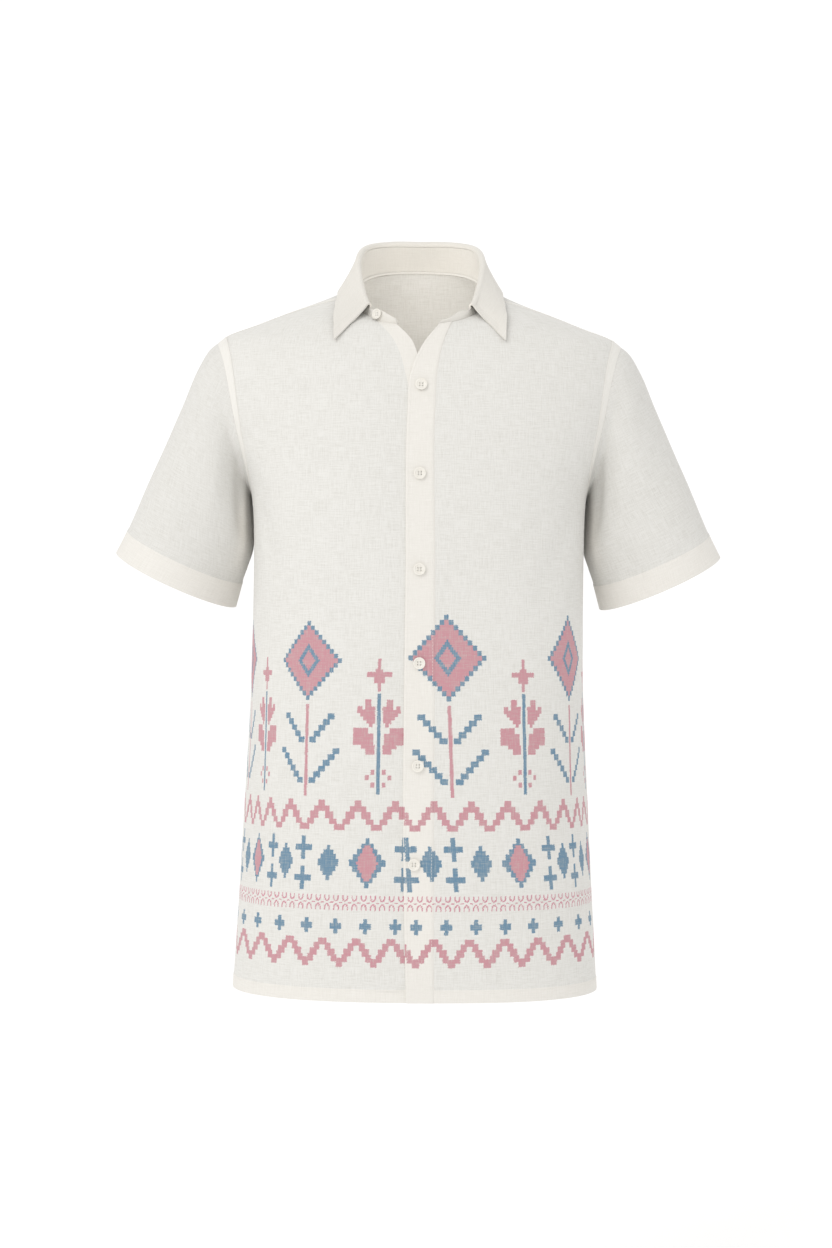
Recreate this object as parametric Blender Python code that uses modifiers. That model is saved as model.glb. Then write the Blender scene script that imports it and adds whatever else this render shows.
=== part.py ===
"""A short-sleeved shirt, filled out as when worn, with nobody in it.

Metres, +Z up, the front faces -Y and the wearer's left is at +X. The origin is
on the centre line, level with the place where the collar meets the shoulders.
Every cloth piece is a thin wall over one common form: the torso is a stack of
rings, and each sleeve is a row of ovals that starts at the armhole.
"""
import math

import bmesh
import bpy
import numpy as np
from mathutils import Matrix, Vector

NAME = "printed_shirt"
CUTTERS = "cutters"

# Cloth
CLOTH = 0.0012
TWO_LAYERS = 0.0018
TURNED_HEM = 0.0022
SEAM_GAP = 0.0003
HEM_HEIGHT = 0.013

# Torso rings from the hem up. Each is a rounded oval whose height may differ
# at the front, the sides and the back.
RING_COLUMNS = ("half_width", "front", "back", "front_z", "side_z", "back_z", "square")
RINGS = (
    (0.1896, 0.1250, 0.1150, -0.733, -0.733, -0.733, 2.4),
    (0.1850, 0.1240, 0.1130, -0.645, -0.645, -0.645, 2.4),
    (0.1794, 0.1230, 0.1110, -0.540, -0.540, -0.540, 2.4),
    (0.1742, 0.1220, 0.1090, -0.435, -0.435, -0.435, 2.5),
    (0.1715, 0.1215, 0.1100, -0.330, -0.330, -0.330, 2.5),
    (0.1722, 0.1215, 0.1130, -0.255, -0.255, -0.255, 2.5),
    (0.1745, 0.1210, 0.1145, -0.213, -0.213, -0.213, 2.5),
    (0.1890, 0.1195, 0.1155, -0.184, -0.180, -0.178, 2.4),
    (0.2130, 0.1160, 0.1155, -0.150, -0.134, -0.128, 2.2),
    (0.2240, 0.1090, 0.1125, -0.119, -0.089, -0.083, 2.05),
    (0.2105, 0.1020, 0.1070, -0.095, -0.056, -0.052, 1.95),
    (0.1770, 0.0955, 0.1010, -0.081, -0.047, -0.038, 2.0),
    (0.1410, 0.0900, 0.0950, -0.070, -0.031, -0.015, 2.05),
    (0.1040, 0.0852, 0.0880, -0.060, -0.019, 0.001, 2.1),
    (0.0680, 0.0810, 0.0800, -0.051, -0.009, 0.025, 2.1),
)
ARMPIT_RING = 6
SHOULDER_RING = 10
NECK_RING = len(RINGS) - 1
ARMHOLE_REACH = math.radians(16.5)
ARMHOLE_STEPS = 11
YOKE_STEP = 8
ROWS_BELOW_ARM = 9
ROWS_OVER_SHOULDER = 6
FRONT_COLUMNS = 12
BACK_COLUMNS = 21
STRIP_POINTS = 4
ARMHOLE_FADE = 0.4
HEM_TOP = RINGS[0][3] + HEM_HEIGHT

# Front edges: where each strip starts and ends across the front, by height.
STRIP_COLUMNS = ("z", "left_x", "right_x")
PLACKET = (
    (-0.733, -0.0090, 0.0190),
    (-0.600, -0.0125, 0.0180),
    (-0.300, -0.0125, 0.0172),
    (-0.140, -0.0118, 0.0160),
    (-0.105, -0.0096, 0.0178),
    (-0.082, -0.0020, 0.0212),
    (-0.066, 0.0068, 0.0258),
    (-0.051, 0.0195, 0.0325),
)
BAND = (
    (-0.733, -0.0070, 0.0160),
    (-0.300, -0.0090, 0.0145),
    (-0.150, -0.0095, 0.0135),
    (-0.118, -0.0108, 0.0110),
    (-0.100, -0.0150, 0.0050),
    (-0.082, -0.0200, -0.0022),
    (-0.066, -0.0285, -0.0090),
    (-0.051, -0.0440, -0.0240),
)
PLACKET_LIFT = 0.0010
BAND_DIP = 0.0012
DIP_SHARE = 0.15

# Sleeve ovals from the armhole to the cuff, for the wearer's left. The first
# oval's ends are the top and the bottom of the armhole.
SLEEVE_COLUMNS = ("along", "outer_x", "outer_z", "inner_x", "inner_z", "half_depth", "drop")
SLEEVE = (
    (0.00, 0.2070, -0.0590, 0.1755, -0.2110, 0.0600, 0.000),
    (0.07, 0.2180, -0.0670, 0.1785, -0.2155, 0.0610, 0.000),
    (0.18, 0.2312, -0.0870, 0.1754, -0.2320, 0.0605, 0.001),
    (0.36, 0.2488, -0.1300, 0.1738, -0.2560, 0.0580, 0.003),
    (0.54, 0.2662, -0.1720, 0.1738, -0.2770, 0.0555, 0.005),
    (0.72, 0.2850, -0.2125, 0.1804, -0.2955, 0.0530, 0.006),
    (0.88, 0.3044, -0.2564, 0.1863, -0.3114, 0.0505, 0.008),
    (1.00, 0.3168, -0.2820, 0.1929, -0.3376, 0.0490, 0.009),
)
SLEEVE_PLACES = (0.0, 0.035, 0.08, 0.14, 0.22, 0.32, 0.43, 0.54, 0.65, 0.77, 0.88, 0.886, 1.0)
SLEEVE_HEM = 0.88
CAP_FADE = 0.55
INNER_LEAN = 0.020
LEAN_FADE = 0.26
FOLD_SHARPNESS = 0.3

# Collar, from the front end of the stand round to the centre back: the angle
# round the neck, the crest that the collar folds over, and the free edge of
# the fall as an angle and a ring on the torso with its height off the cloth.
COLLAR_COLUMNS = ("angle", "crest_x", "crest_y", "crest_z", "edge_angle", "edge_ring", "edge_off")
COLLAR = (
    (38, 0.0495, -0.0550, -0.0265, 45.5, 10.87, 0.0042),
    (50, 0.0530, -0.0440, -0.0190, 51.0, 12.05, 0.0042),
    (64, 0.0555, -0.0300, -0.0100, 60.0, 12.92, 0.0040),
    (85, 0.0600, -0.0070, 0.0100, 77.0, 13.42, 0.0040),
    (110, 0.0620, 0.0160, 0.0330, 99.0, 13.52, 0.0045),
    (132, 0.0560, 0.0400, 0.0480, 124.0, 13.46, 0.0050),
    (156, 0.0340, 0.0570, 0.0545, 152.0, 13.40, 0.0060),
    (180, 0.0000, 0.0630, 0.0555, 180.0, 13.40, 0.0075),
)
STAND_END_COLUMNS = ("angle", "top_x", "top_y", "top_z")
STAND_END_RIGHT = (
    (16.5, 0.0243, -0.0775, -0.0445),
    (20.0, 0.0290, -0.0725, -0.0385),
    (27.0, 0.0370, -0.0665, -0.0335),
)
STAND_END_LEFT = (
    (13.8, 0.0200, -0.0785, -0.0465),
    (18.0, 0.0270, -0.0745, -0.0415),
    (26.0, 0.0360, -0.0675, -0.0350),
)
ROLL_RADIUS = 0.0027
ROLL_LEG = 0.0010
FALL_THICKNESS = 0.0018
FALL_SWELL = 0.0012
FALL_CLEARANCE = 0.0010
STAND_SWELL = 0.0006
STAND_ROWS = 4
COLLAR_COLUMN_COUNT = 13
END_COLUMN_COUNT = 6
ROLL_ROWS = 5
LEAF_ROWS = 7

# Buttons
BUTTON_RADIUS = 0.0062
COLLAR_BUTTON_RADIUS = 0.0054
BUTTON_THICKNESS = 0.0026
BUTTON_SIDES = 16
COLLAR_BUTTON_ANGLE = 32.0
BUTTON_COLUMNS = ("x", "z")
BUTTONS = (
    (0.0017, -0.1150),
    (0.0009, -0.2044),
    (0.0012, -0.3003),
    (0.0017, -0.3942),
    (0.0011, -0.4968),
    (-0.0020, -0.5950),
)

# Soft folds of the torso, each a trough between two places round and up it
FOLD_COLUMNS = ("start_angle", "start_z", "end_angle", "end_z", "width", "depth")
TORSO_FOLDS = (
    (72, -0.215, 52, -0.330, 0.013, 0.0022),
    (289, -0.220, 305, -0.345, 0.012, 0.0026),
    (80, -0.400, 74, -0.640, 0.018, 0.0020),
    (283, -0.430, 290, -0.690, 0.018, 0.0022),
    (106, -0.215, 126, -0.330, 0.014, 0.0026),
    (254, -0.215, 236, -0.320, 0.014, 0.0024),
    (150, -0.330, 146, -0.640, 0.020, 0.0026),
    (206, -0.350, 212, -0.660, 0.020, 0.0022),
)
DEGREE_OF_GIRTH = 0.0027
SLEEVE_FOLDS = (
    (60, 0.02, 40, 0.50, 0.012, 0.0035),
    (78, 0.10, 66, 0.62, 0.014, 0.0020),
    (300, 0.02, 322, 0.48, 0.012, 0.0035),
    (282, 0.12, 290, 0.60, 0.014, 0.0022),
)
DEGREE_OF_SLEEVE = 0.0011
SLEEVE_LENGTH = 0.20

# Looks
SHARP_EDGE = math.radians(50)
LINEN_ROUGHNESS = 0.85
CREAM = (0.80, 0.77, 0.71, 1.0)
SMOOTH_CREAM = (0.83, 0.79, 0.72, 1.0)
SHELL_WHITE = (0.88, 0.86, 0.80, 1.0)


def smooth(keys, rows, value):
    """Read a table at a value of its keys, on one smooth curve through its rows."""
    keys = np.asarray(keys, float)
    rows = np.asarray(rows, float)
    value = np.clip(np.asarray(value, float), keys[0], keys[-1])
    slopes = np.gradient(rows, keys, axis=0)
    low = np.clip(np.searchsorted(keys, value, side="right") - 1, 0, len(keys) - 2)
    step = keys[low + 1] - keys[low]
    part = ((value - keys[low]) / step)[..., None]
    step = step[..., None]
    square = part ** 2
    cube = part ** 3
    return (
        (2 * cube - 3 * square + 1) * rows[low]
        + (cube - 2 * square + part) * step * slopes[low]
        + (3 * square - 2 * cube) * rows[low + 1]
        + (cube - square) * step * slopes[low + 1]
    )


def by_key(rows, value):
    """Read a table whose first column is its key."""
    return smooth([row[0] for row in rows], rows, value)


def ring_row(ring):
    """The torso's sizes at a ring number, blended softly over the rows around it."""
    rows = np.asarray(RINGS, float)
    rows = np.vstack((2 * rows[0] - rows[1], rows, 2 * rows[-1] - rows[-2]))
    ring = np.clip(np.asarray(ring, float), 0, NECK_RING)
    low = np.minimum(ring.astype(int), NECK_RING - 1)
    part = (ring - low)[..., None]
    shares = (
        (1 - part) ** 3,
        3 * part ** 3 - 6 * part ** 2 + 4,
        -3 * part ** 3 + 3 * part ** 2 + 3 * part + 1,
        part ** 3,
    )
    return sum(share * rows[low + k] for k, share in enumerate(shares)) / 6


def unit(vectors):
    return vectors / np.linalg.norm(vectors, axis=-1, keepdims=True)


def ease(value):
    value = np.clip(value, 0.0, 1.0)
    return value * value * (3 - 2 * value)


def torso(angle, ring):
    """A point of the torso: angle 0 is the centre front, pi/2 is at +X."""
    angle, ring = np.broadcast_arrays(np.asarray(angle, float), np.asarray(ring, float))
    row = np.moveaxis(ring_row(ring), -1, 0)
    half_width, front, back, front_z, side_z, back_z, square = row
    side = np.sin(angle)
    ahead = np.cos(angle)
    depth = np.where(ahead > 0, front, back)
    radius = (np.abs(side / half_width) ** square + np.abs(ahead / depth) ** square) ** (-1 / square)
    tilt = (back_z - front_z) / 2
    saddle = (front_z + back_z) / 2 - side_z
    height = side_z - tilt * ahead + saddle * ahead ** 2
    return np.stack((radius * side, -radius * ahead, height), axis=-1)


def torso_normal(angle, ring):
    """The outward direction of the torso's surface."""
    step = 0.01
    round_it = torso(angle + step, ring) - torso(angle - step, ring)
    ring = np.clip(ring, step, NECK_RING - step)
    up_it = torso(angle, ring + step) - torso(angle, ring - step)
    return unit(np.cross(round_it, up_it))


def fold_relief(folds, across, up, scale):
    """Depth of a set of troughs at a place, each trough deepest at its middle."""
    relief = np.zeros(across.shape)
    for start_across, start_up, end_across, end_up, width, depth in folds:
        along = np.array(((end_across - start_across) * scale[0], (end_up - start_up) * scale[1]))
        offset = np.stack(((across - start_across) * scale[0], (up - start_up) * scale[1]), axis=-1)
        place = np.clip(offset @ along / (along @ along), 0, 1)
        away = np.linalg.norm(offset - place[..., None] * along, axis=-1)
        relief -= depth * np.sin(math.pi * (0.15 + 0.7 * place)) * np.exp(-(away / width) ** 2)
    return relief


def cloth_point(angle, ring, lift=0.0):
    """A point of the torso's outer face, with its folds, raised by lift."""
    angle, ring = np.broadcast_arrays(np.asarray(angle, float), np.asarray(ring, float))
    point = torso(angle, ring)
    turned = np.degrees(np.mod(angle, 2 * math.pi))
    raised = lift + fold_relief(TORSO_FOLDS, turned, point[..., 2], (DEGREE_OF_GIRTH, 1))
    return point + torso_normal(angle, ring) * np.asarray(raised)[..., None]


def side_angle(ring, side):
    """Angle of a panel's side edge: the side seam, the armhole, the yoke seam."""
    up = (ring - ARMPIT_RING) / (SHOULDER_RING - ARMPIT_RING)
    across = np.sqrt(np.clip(1 - (2 * up - 1) ** 2, 0, 1))
    return math.pi / 2 + side * ARMHOLE_REACH * across


def front_angle(x, ring):
    """The angle at which a ring's front passes a place across the shirt."""
    half_width, front, _, _, _, _, square = np.moveaxis(ring_row(ring), -1, 0)
    depth = front * (1 - np.abs(x / half_width) ** square) ** (1 / square)
    return np.arctan2(x, depth)


def strip_edge(rows, column, ring):
    """Angle of the edge of a front strip, read from its table at the ring's height."""
    height = ring_row(ring)[..., RING_COLUMNS.index("front_z")]
    return front_angle(by_key(rows, height)[..., STRIP_COLUMNS.index(column)], ring)


def ring_at(height):
    """The ring whose front lies at a height."""
    rings = np.linspace(0, NECK_RING, 600)
    heights = ring_row(rings)[:, RING_COLUMNS.index("front_z")]
    return float(np.interp(height, heights, rings))


def panel_rings(at_armhole=False):
    """The rings that every panel's rows lie on, evenly spread or as the armhole's steps."""
    hem_rings = [0, ring_at(HEM_TOP), ring_at(HEM_TOP + CLOTH)]
    below = [ARMPIT_RING * k / ROWS_BELOW_ARM for k in range(1, ROWS_BELOW_ARM)]
    share = np.arange(ARMHOLE_STEPS + 1) / ARMHOLE_STEPS
    if at_armhole:
        share = (1 - np.cos(math.pi * share)) / 2
    beside = list(ARMPIT_RING + (SHOULDER_RING - ARMPIT_RING) * share)
    above = [SHOULDER_RING + (NECK_RING - SHOULDER_RING) * k / ROWS_OVER_SHOULDER
             for k in range(1, ROWS_OVER_SHOULDER + 1)]
    return np.array(hem_rings + below + beside + above)


def trim(points, sides):
    """Draw a grid's edges back by half a seam gap, in the cloth's own surface."""
    points = points.copy()
    across = np.swapaxes(points, 0, 1)
    views = {
        "first_row": points,
        "last_row": points[::-1],
        "first_column": across,
        "last_column": across[::-1],
    }
    for side in sides:
        view = views[side]
        inward = view[1] - view[0]
        tangent = unit(np.gradient(view[0], axis=0))
        inward = unit(inward - np.sum(inward * tangent, axis=-1, keepdims=True) * tangent)
        view[0] += inward * SEAM_GAP / 2
    return points


def split(points, corners):
    """Two triangles of a grid's square, cut along its shorter diagonal."""
    places = [points[row, column % points.shape[1]] for row, column in corners]
    if np.linalg.norm(places[2] - places[0]) <= np.linalg.norm(places[3] - places[1]):
        order = ((0, 1, 2), (0, 2, 3))
    else:
        order = ((1, 2, 3), (1, 3, 0))
    return [[corners[k] for k in triangle] for triangle in order]


def wall(name, outer, inner, material, wrapped=False):
    """A closed cloth wall between two grids of points, rows by columns."""
    rows, columns = outer.shape[:2]
    count = rows * columns
    last = columns - 1

    def out(row, column):
        return row * columns + column % columns

    def within(row, column):
        return count + out(row, column)

    faces = []
    for column in range(columns if wrapped else last):
        after = column + 1
        for row in range(rows - 1):
            corners = ((row, column), (row, after), (row + 1, after), (row + 1, column))
            for triangle in split(outer, corners):
                faces.append([out(*corner) for corner in triangle])
                faces.append([within(*corner) for corner in reversed(triangle)])
        top = rows - 1
        faces.append([within(0, column), within(0, after), out(0, after), out(0, column)])
        faces.append([out(top, column), out(top, after), within(top, after), within(top, column)])
    for row in range(0 if wrapped else rows - 1):
        after = row + 1
        faces.append([out(row, 0), out(after, 0), within(after, 0), within(row, 0)])
        faces.append([within(row, last), within(after, last), out(after, last), out(row, last)])
    vertices = np.concatenate((outer.reshape(-1, 3), inner.reshape(-1, 3)))
    mesh = bpy.data.meshes.new(name)
    mesh.from_pydata(vertices.tolist(), [], faces)
    mesh.shade_smooth()
    mesh.set_sharp_from_angle(angle=SHARP_EDGE)
    mesh.materials.append(material)
    return place_object(name, mesh)


def place_object(name, mesh):
    item = bpy.data.objects.new(name, mesh)
    bpy.data.collections[NAME].objects.link(item)
    return item


def principled(name, colour, roughness):
    material = bpy.data.materials.new(name)
    material.use_nodes = True
    shader = material.node_tree.nodes["Principled BSDF"]
    shader.inputs["Base Color"].default_value = colour
    shader.inputs["Roughness"].default_value = roughness
    shader.inputs["Metallic"].default_value = 0.0
    return material


def panel_grid(rows, first_edge, last_edge, columns):
    """Angles and rings of a panel's points, its rows drawn to the armhole's steps beside it."""
    even = panel_rings()[rows]
    stepped = panel_rings(at_armhole=True)[rows]
    spread = np.linspace(0, 1, columns)
    first, first_beside = first_edge
    last, last_beside = last_edge
    beside = (
        first_beside * (1 - ease(spread / ARMHOLE_FADE))
        + last_beside * (1 - ease((1 - spread) / ARMHOLE_FADE))
    )
    ring = even[:, None] + (stepped - even)[:, None] * beside
    start = first(stepped if first_beside else even)
    end = last(stepped if last_beside else even)
    return start[:, None] + (end - start)[:, None] * spread, ring


def torso_panel(name, rows, edges, columns, lift, thickness, sides):
    """A wall over the region of the torso between two edges."""
    angle, ring = panel_grid(rows, *edges, columns)
    outer = trim(cloth_point(angle, ring, lift(np.linspace(0, 1, columns))), sides)
    inner = outer - torso_normal(angle, ring) * thickness[:, None, None]
    colour = SMOOTH_CREAM if thickness.min() > CLOTH else CREAM
    return wall(name, outer, inner, principled(f"linen_{name}", colour, LINEN_ROUGHNESS))


def hemmed(rows):
    """Wall thickness by row: the turned hem, then the plain cloth."""
    return np.where(panel_rings()[rows] < ring_at(HEM_TOP + CLOTH / 2), TURNED_HEM, CLOTH)


def level(height):
    """A lift that is the same all over a panel."""
    return lambda spread: np.full(spread.shape, height)


def dip_under_placket(spread):
    """The right front sinks behind the left one near its last column."""
    return -BAND_DIP * ease(1 - (1 - spread) / DIP_SHARE)


def strip(rows, column):
    """The edge of a front strip as a panel's edge, away from the armhole."""
    return lambda ring: strip_edge(rows, column, ring), False


def side_seam(side, mirror=False):
    """A side seam as a panel's edge, with the armhole above it."""
    if mirror:
        whole_turn = math.pi * (1 + side)
        return lambda ring: whole_turn - side_angle(ring, side), True
    return lambda ring: side_angle(ring, side), True


def build_fronts():
    rows = slice(None)
    sides = ("first_column", "last_column", "last_row")
    edges = side_seam(-1, mirror=True), strip(BAND, "left_x")
    torso_panel("front_right", rows, edges, FRONT_COLUMNS, dip_under_placket, hemmed(rows), sides)
    edges = strip(PLACKET, "right_x"), side_seam(-1)
    torso_panel("front_left", rows, edges, FRONT_COLUMNS, level(0), hemmed(rows), sides)


def build_strips():
    rows = slice(None)
    thickness = np.full(panel_rings().shape, TWO_LAYERS)
    edges = strip(PLACKET, "left_x"), strip(PLACKET, "right_x")
    sides = ("last_column", "last_row")
    torso_panel("placket_left", rows, edges, STRIP_POINTS, level(PLACKET_LIFT), thickness, sides)
    edges = strip(BAND, "left_x"), strip(BAND, "right_x")
    sides = ("first_column", "last_row")
    torso_panel("button_band_right", rows, edges, STRIP_POINTS, level(-BAND_DIP), thickness, sides)


def build_back_and_yoke():
    seam = int(np.searchsorted(panel_rings(), ARMPIT_RING)) + YOKE_STEP
    edges = side_seam(1), side_seam(1, mirror=True)
    rows = slice(0, seam + 1)
    sides = ("first_column", "last_column", "last_row")
    torso_panel("back", rows, edges, BACK_COLUMNS, level(0), hemmed(rows), sides)
    rows = slice(seam, None)
    thickness = np.full(panel_rings()[rows].shape, TWO_LAYERS)
    sides = ("first_column", "last_column", "first_row", "last_row")
    torso_panel("yoke", rows, edges, BACK_COLUMNS, level(0), thickness, sides)


def armhole(turn):
    """Where the armhole lies on the torso: turn 0 is its bottom, pi/2 its front."""
    ring = ARMPIT_RING + (SHOULDER_RING - ARMPIT_RING) * (1 - np.cos(turn)) / 2
    return math.pi / 2 - ARMHOLE_REACH * np.sin(turn), ring


def sleeve_oval(turn, along):
    """The plain oval at a place along the sleeve, its inner side drawn back under the arm."""
    row = np.moveaxis(by_key(SLEEVE, along), -1, 0)
    _, outer_x, outer_z, inner_x, inner_z, half_depth, drop = row
    share = (1 - np.cos(turn)) / 2
    forward = np.sin(turn)
    x = inner_x + (outer_x - inner_x) * share
    z = inner_z + (outer_z - inner_z) * share - drop * forward
    lean = INNER_LEAN * ease(along / LEAN_FADE) * (1 - share) ** 2
    return np.stack((x, lean - half_depth * forward, z), axis=-1)


def sleeve_point(turn, along):
    """A point of the left sleeve's outer face."""
    turn, along = np.broadcast_arrays(np.asarray(turn, float), np.asarray(along, float))
    seam = cloth_point(*armhole(turn))
    keep = (1 - ease(along / CAP_FADE))[..., None]
    return sleeve_oval(turn, along) + keep * (seam - sleeve_oval(turn, np.zeros(along.shape)))


def sleeve_normal(turn, along):
    """The outward direction of the left sleeve's surface."""
    step = 0.01
    round_it = sleeve_point(turn + step, along) - sleeve_point(turn - step, along)
    along = np.clip(along, step, 1 - step)
    down_it = sleeve_point(turn, along + step) - sleeve_point(turn, along - step)
    return unit(np.cross(down_it, round_it))


def sleeve_head(turn, lead, sleeve_side):
    """The sleeve's first oval, moved off the armhole, and the way that its wall faces.

    Where the sleeve bends away from the body its wall faces as the body's does,
    and in the fold under the arm it faces half way between the two.
    """
    angle, ring = armhole(turn)
    body_side = torso_normal(angle, ring)
    tangent = cloth_point(*armhole(turn + 0.01)) - cloth_point(*armhole(turn - 0.01))
    away = unit(np.cross(tangent, body_side))
    folded = np.clip(-np.sum(sleeve_side * away, axis=-1, keepdims=True) / FOLD_SHARPNESS, 0, 1)
    shift = unit(away + unit(lead)) * SEAM_GAP * 0.7
    return cloth_point(angle, ring) + shift, unit(body_side + folded * sleeve_side)


def build_sleeve(name, mirror):
    turn = np.arange(2 * ARMHOLE_STEPS) * math.pi / ARMHOLE_STEPS
    turns, places = np.meshgrid(turn, np.array(SLEEVE_PLACES))
    folds = fold_relief(SLEEVE_FOLDS, np.degrees(turns), places, (DEGREE_OF_SLEEVE, SLEEVE_LENGTH))
    normal = sleeve_normal(turns, places)
    outer = sleeve_point(turns, places) + normal * folds[..., None]
    lead = outer[1] - outer[0]
    outer[0], normal[0] = sleeve_head(turn, lead, normal[1])
    thickness = np.where(places > SLEEVE_HEM - 0.001, TURNED_HEM, CLOTH)
    inner = outer - normal * thickness[..., None]
    if mirror:
        outer = outer * (-1, 1, 1)
        inner = inner * (-1, 1, 1)
    else:
        outer = outer[:, ::-1]
        inner = inner[:, ::-1]
    wall(name, outer, inner, principled(f"linen_{name}", CREAM, LINEN_ROUGHNESS), wrapped=True)


def crest_of(degrees, left_half):
    """The highest line of the collar, and past the fall the stand's own top."""
    crest = [row[:4] for row in COLLAR]
    end = STAND_END_LEFT if left_half else STAND_END_RIGHT
    return by_key(end + tuple(crest), degrees)[..., 1:]


def collar_frames(degrees, left_half):
    """Seam, crest, and the upward and outward directions, round half of the collar."""
    seam = cloth_point(np.radians(degrees), np.full(degrees.shape, float(NECK_RING)))
    crest = crest_of(degrees, left_half)
    step = 0.5
    along = unit(crest_of(degrees + step, left_half) - crest_of(degrees - step, left_half))
    up = crest - seam
    up = unit(up - np.sum(up * along, axis=-1, keepdims=True) * along)
    return seam, crest, up, unit(np.cross(along, up))


def whole_collar(half, left_degrees, right_degrees):
    """Join a grid of the left half to a mirrored one of the right half."""
    left = half(left_degrees, True)
    right = half(right_degrees, False) * (-1, 1, 1)
    return np.concatenate((left, right[:, -2::-1]), axis=1)


def stand_half(degrees, left_half):
    seam, crest, up, out = collar_frames(degrees, left_half)
    under = ease((degrees - COLLAR[0][0] + 9) / 7)[:, None]
    drop = ROLL_RADIUS + FALL_THICKNESS / 2 + ROLL_LEG + SEAM_GAP * 2
    top = crest - under * up * drop + out * TWO_LAYERS / 2
    share = np.linspace(0, 1, STAND_ROWS)[:, None, None]
    swell = np.sin(math.pi * share) * STAND_SWELL
    return seam + (top - seam) * share + out * swell


def grid_normal(points):
    """The direction that faces out of a grid whose columns run anticlockwise."""
    return unit(np.cross(np.gradient(points, axis=1), np.gradient(points, axis=0)))


def build_stand():
    shared = np.linspace(COLLAR[0][0], 180, COLLAR_COLUMN_COUNT)
    left, right = [
        np.concatenate((np.linspace(end[0][0], COLLAR[0][0], END_COLUMN_COUNT)[:-1], shared))
        for end in (STAND_END_LEFT, STAND_END_RIGHT)
    ]
    outer = trim(whole_collar(stand_half, left, right), ("first_row",))
    inner = outer - grid_normal(outer) * TWO_LAYERS
    wall("collar_stand", outer, inner, principled("linen_stand", SMOOTH_CREAM, LINEN_ROUGHNESS))


def fall_half(degrees, left_half):
    """The middle of the fall's cloth: over the roll, then down to its free edge."""
    seam, crest, up, out = collar_frames(degrees, left_half)
    centre = crest - up * (ROLL_RADIUS + FALL_THICKNESS / 2) + out * ROLL_RADIUS
    roll = [centre + ROLL_RADIUS * (math.cos(turn) * out + math.sin(turn) * up)
            for turn in np.linspace(math.pi, 0, ROLL_ROWS)]
    roll.insert(0, roll[0] - up * ROLL_LEG)
    row = by_key(COLLAR, degrees)
    edge_angle = np.radians(row[:, COLLAR_COLUMNS.index("edge_angle")])
    edge_ring = row[:, COLLAR_COLUMNS.index("edge_ring")]
    off = row[:, COLLAR_COLUMNS.index("edge_off")]
    edge = torso(edge_angle, edge_ring) + torso_normal(edge_angle, edge_ring) * off[:, None]
    start = roll[-1]
    reach = edge - start
    swell = unit(np.cross(unit(reach), np.gradient(crest, axis=0))) * -FALL_SWELL
    leaf = [start + reach * share + swell * math.sin(math.pi * share ** 0.7)
            for share in np.linspace(0, 1, LEAF_ROWS)[1:]]
    return np.array(roll + leaf)


def clear_of_torso(points, gap):
    """Move points out along the torso's normal until they stand off it by a gap."""
    angles = np.linspace(0, 2 * math.pi, 361)[:-1]
    rings = np.linspace(SHOULDER_RING, NECK_RING, 60)
    angle, ring = [grid.ravel() for grid in np.meshgrid(angles, rings)]
    places = torso(angle, ring)
    normals = torso_normal(angle, ring)
    moved = points.reshape(-1, 3).copy()
    for index, point in enumerate(moved):
        nearest = np.argmin(np.sum((places - point) ** 2, axis=1))
        height = float((point - places[nearest]) @ normals[nearest])
        moved[index] += normals[nearest] * max(0.0, gap - height)
    return moved.reshape(points.shape)


def build_fall():
    degrees = np.linspace(COLLAR[0][0], 180, COLLAR_COLUMN_COUNT)
    middle = whole_collar(fall_half, degrees, degrees)
    half = FALL_THICKNESS / 2
    middle[ROLL_ROWS + 1:] = clear_of_torso(middle[ROLL_ROWS + 1:], half + FALL_CLEARANCE)
    normal = -grid_normal(middle)
    outer = (middle + normal * half)[:, ::-1]
    inner = (middle - normal * half)[:, ::-1]
    wall("collar_fall", outer, inner, principled("linen_fall", SMOOTH_CREAM, LINEN_ROUGHNESS))


def cutter_object(name, mesh):
    item = bpy.data.objects.new(name, mesh)
    item.hide_render = True
    item.display_type = "WIRE"
    bpy.data.collections[CUTTERS].objects.link(item)
    return item


def hole_cutter(name, spacing, radius):
    """Four straight pins where the thread holes go."""
    shape = bmesh.new()
    for x, y in ((1, 1), (-1, 1), (-1, -1), (1, -1)):
        place = Matrix.Translation((x * spacing / 2, y * spacing / 2, BUTTON_THICKNESS / 2))
        bmesh.ops.create_cone(
            shape, cap_ends=True, segments=6, radius1=radius, radius2=radius,
            depth=BUTTON_THICKNESS * 2, matrix=place,
        )
    mesh = bpy.data.meshes.new(name)
    shape.to_mesh(mesh)
    shape.free()
    return cutter_object(name, mesh)


def button_mesh(name, radius):
    """A turned button with a raised rim, a dished middle and four holes."""
    profile = (
        (0.0, BUTTON_THICKNESS * 0.62),
        (radius * 0.60, BUTTON_THICKNESS * 0.62),
        (radius * 0.74, BUTTON_THICKNESS),
        (radius * 0.90, BUTTON_THICKNESS),
        (radius, BUTTON_THICKNESS * 0.68),
        (radius * 0.88, 0.0),
        (0.0, 0.0),
    )
    mesh = bpy.data.meshes.new(name)
    corners = [(across, 0.0, up) for across, up in profile]
    mesh.from_pydata(corners, [(k, k + 1) for k in range(len(profile) - 1)], [])
    blank = cutter_object(f"{name}_blank", mesh)
    turn = blank.modifiers.new("turn", "SCREW")
    turn.steps = BUTTON_SIDES
    turn.render_steps = BUTTON_SIDES
    turn.use_merge_vertices = True
    turn.merge_threshold = 0.00001
    holes = blank.modifiers.new("holes", "BOOLEAN")
    holes.operation = "DIFFERENCE"
    holes.object = hole_cutter(f"{name}_holes", radius * 0.42, radius * 0.12)
    bpy.context.view_layer.update()
    evaluated = blank.evaluated_get(bpy.context.evaluated_depsgraph_get())
    finished = bpy.data.meshes.new_from_object(evaluated)
    finished.shade_smooth()
    finished.set_sharp_from_angle(angle=math.radians(35))
    bpy.data.objects.remove(blank)
    return finished


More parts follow.
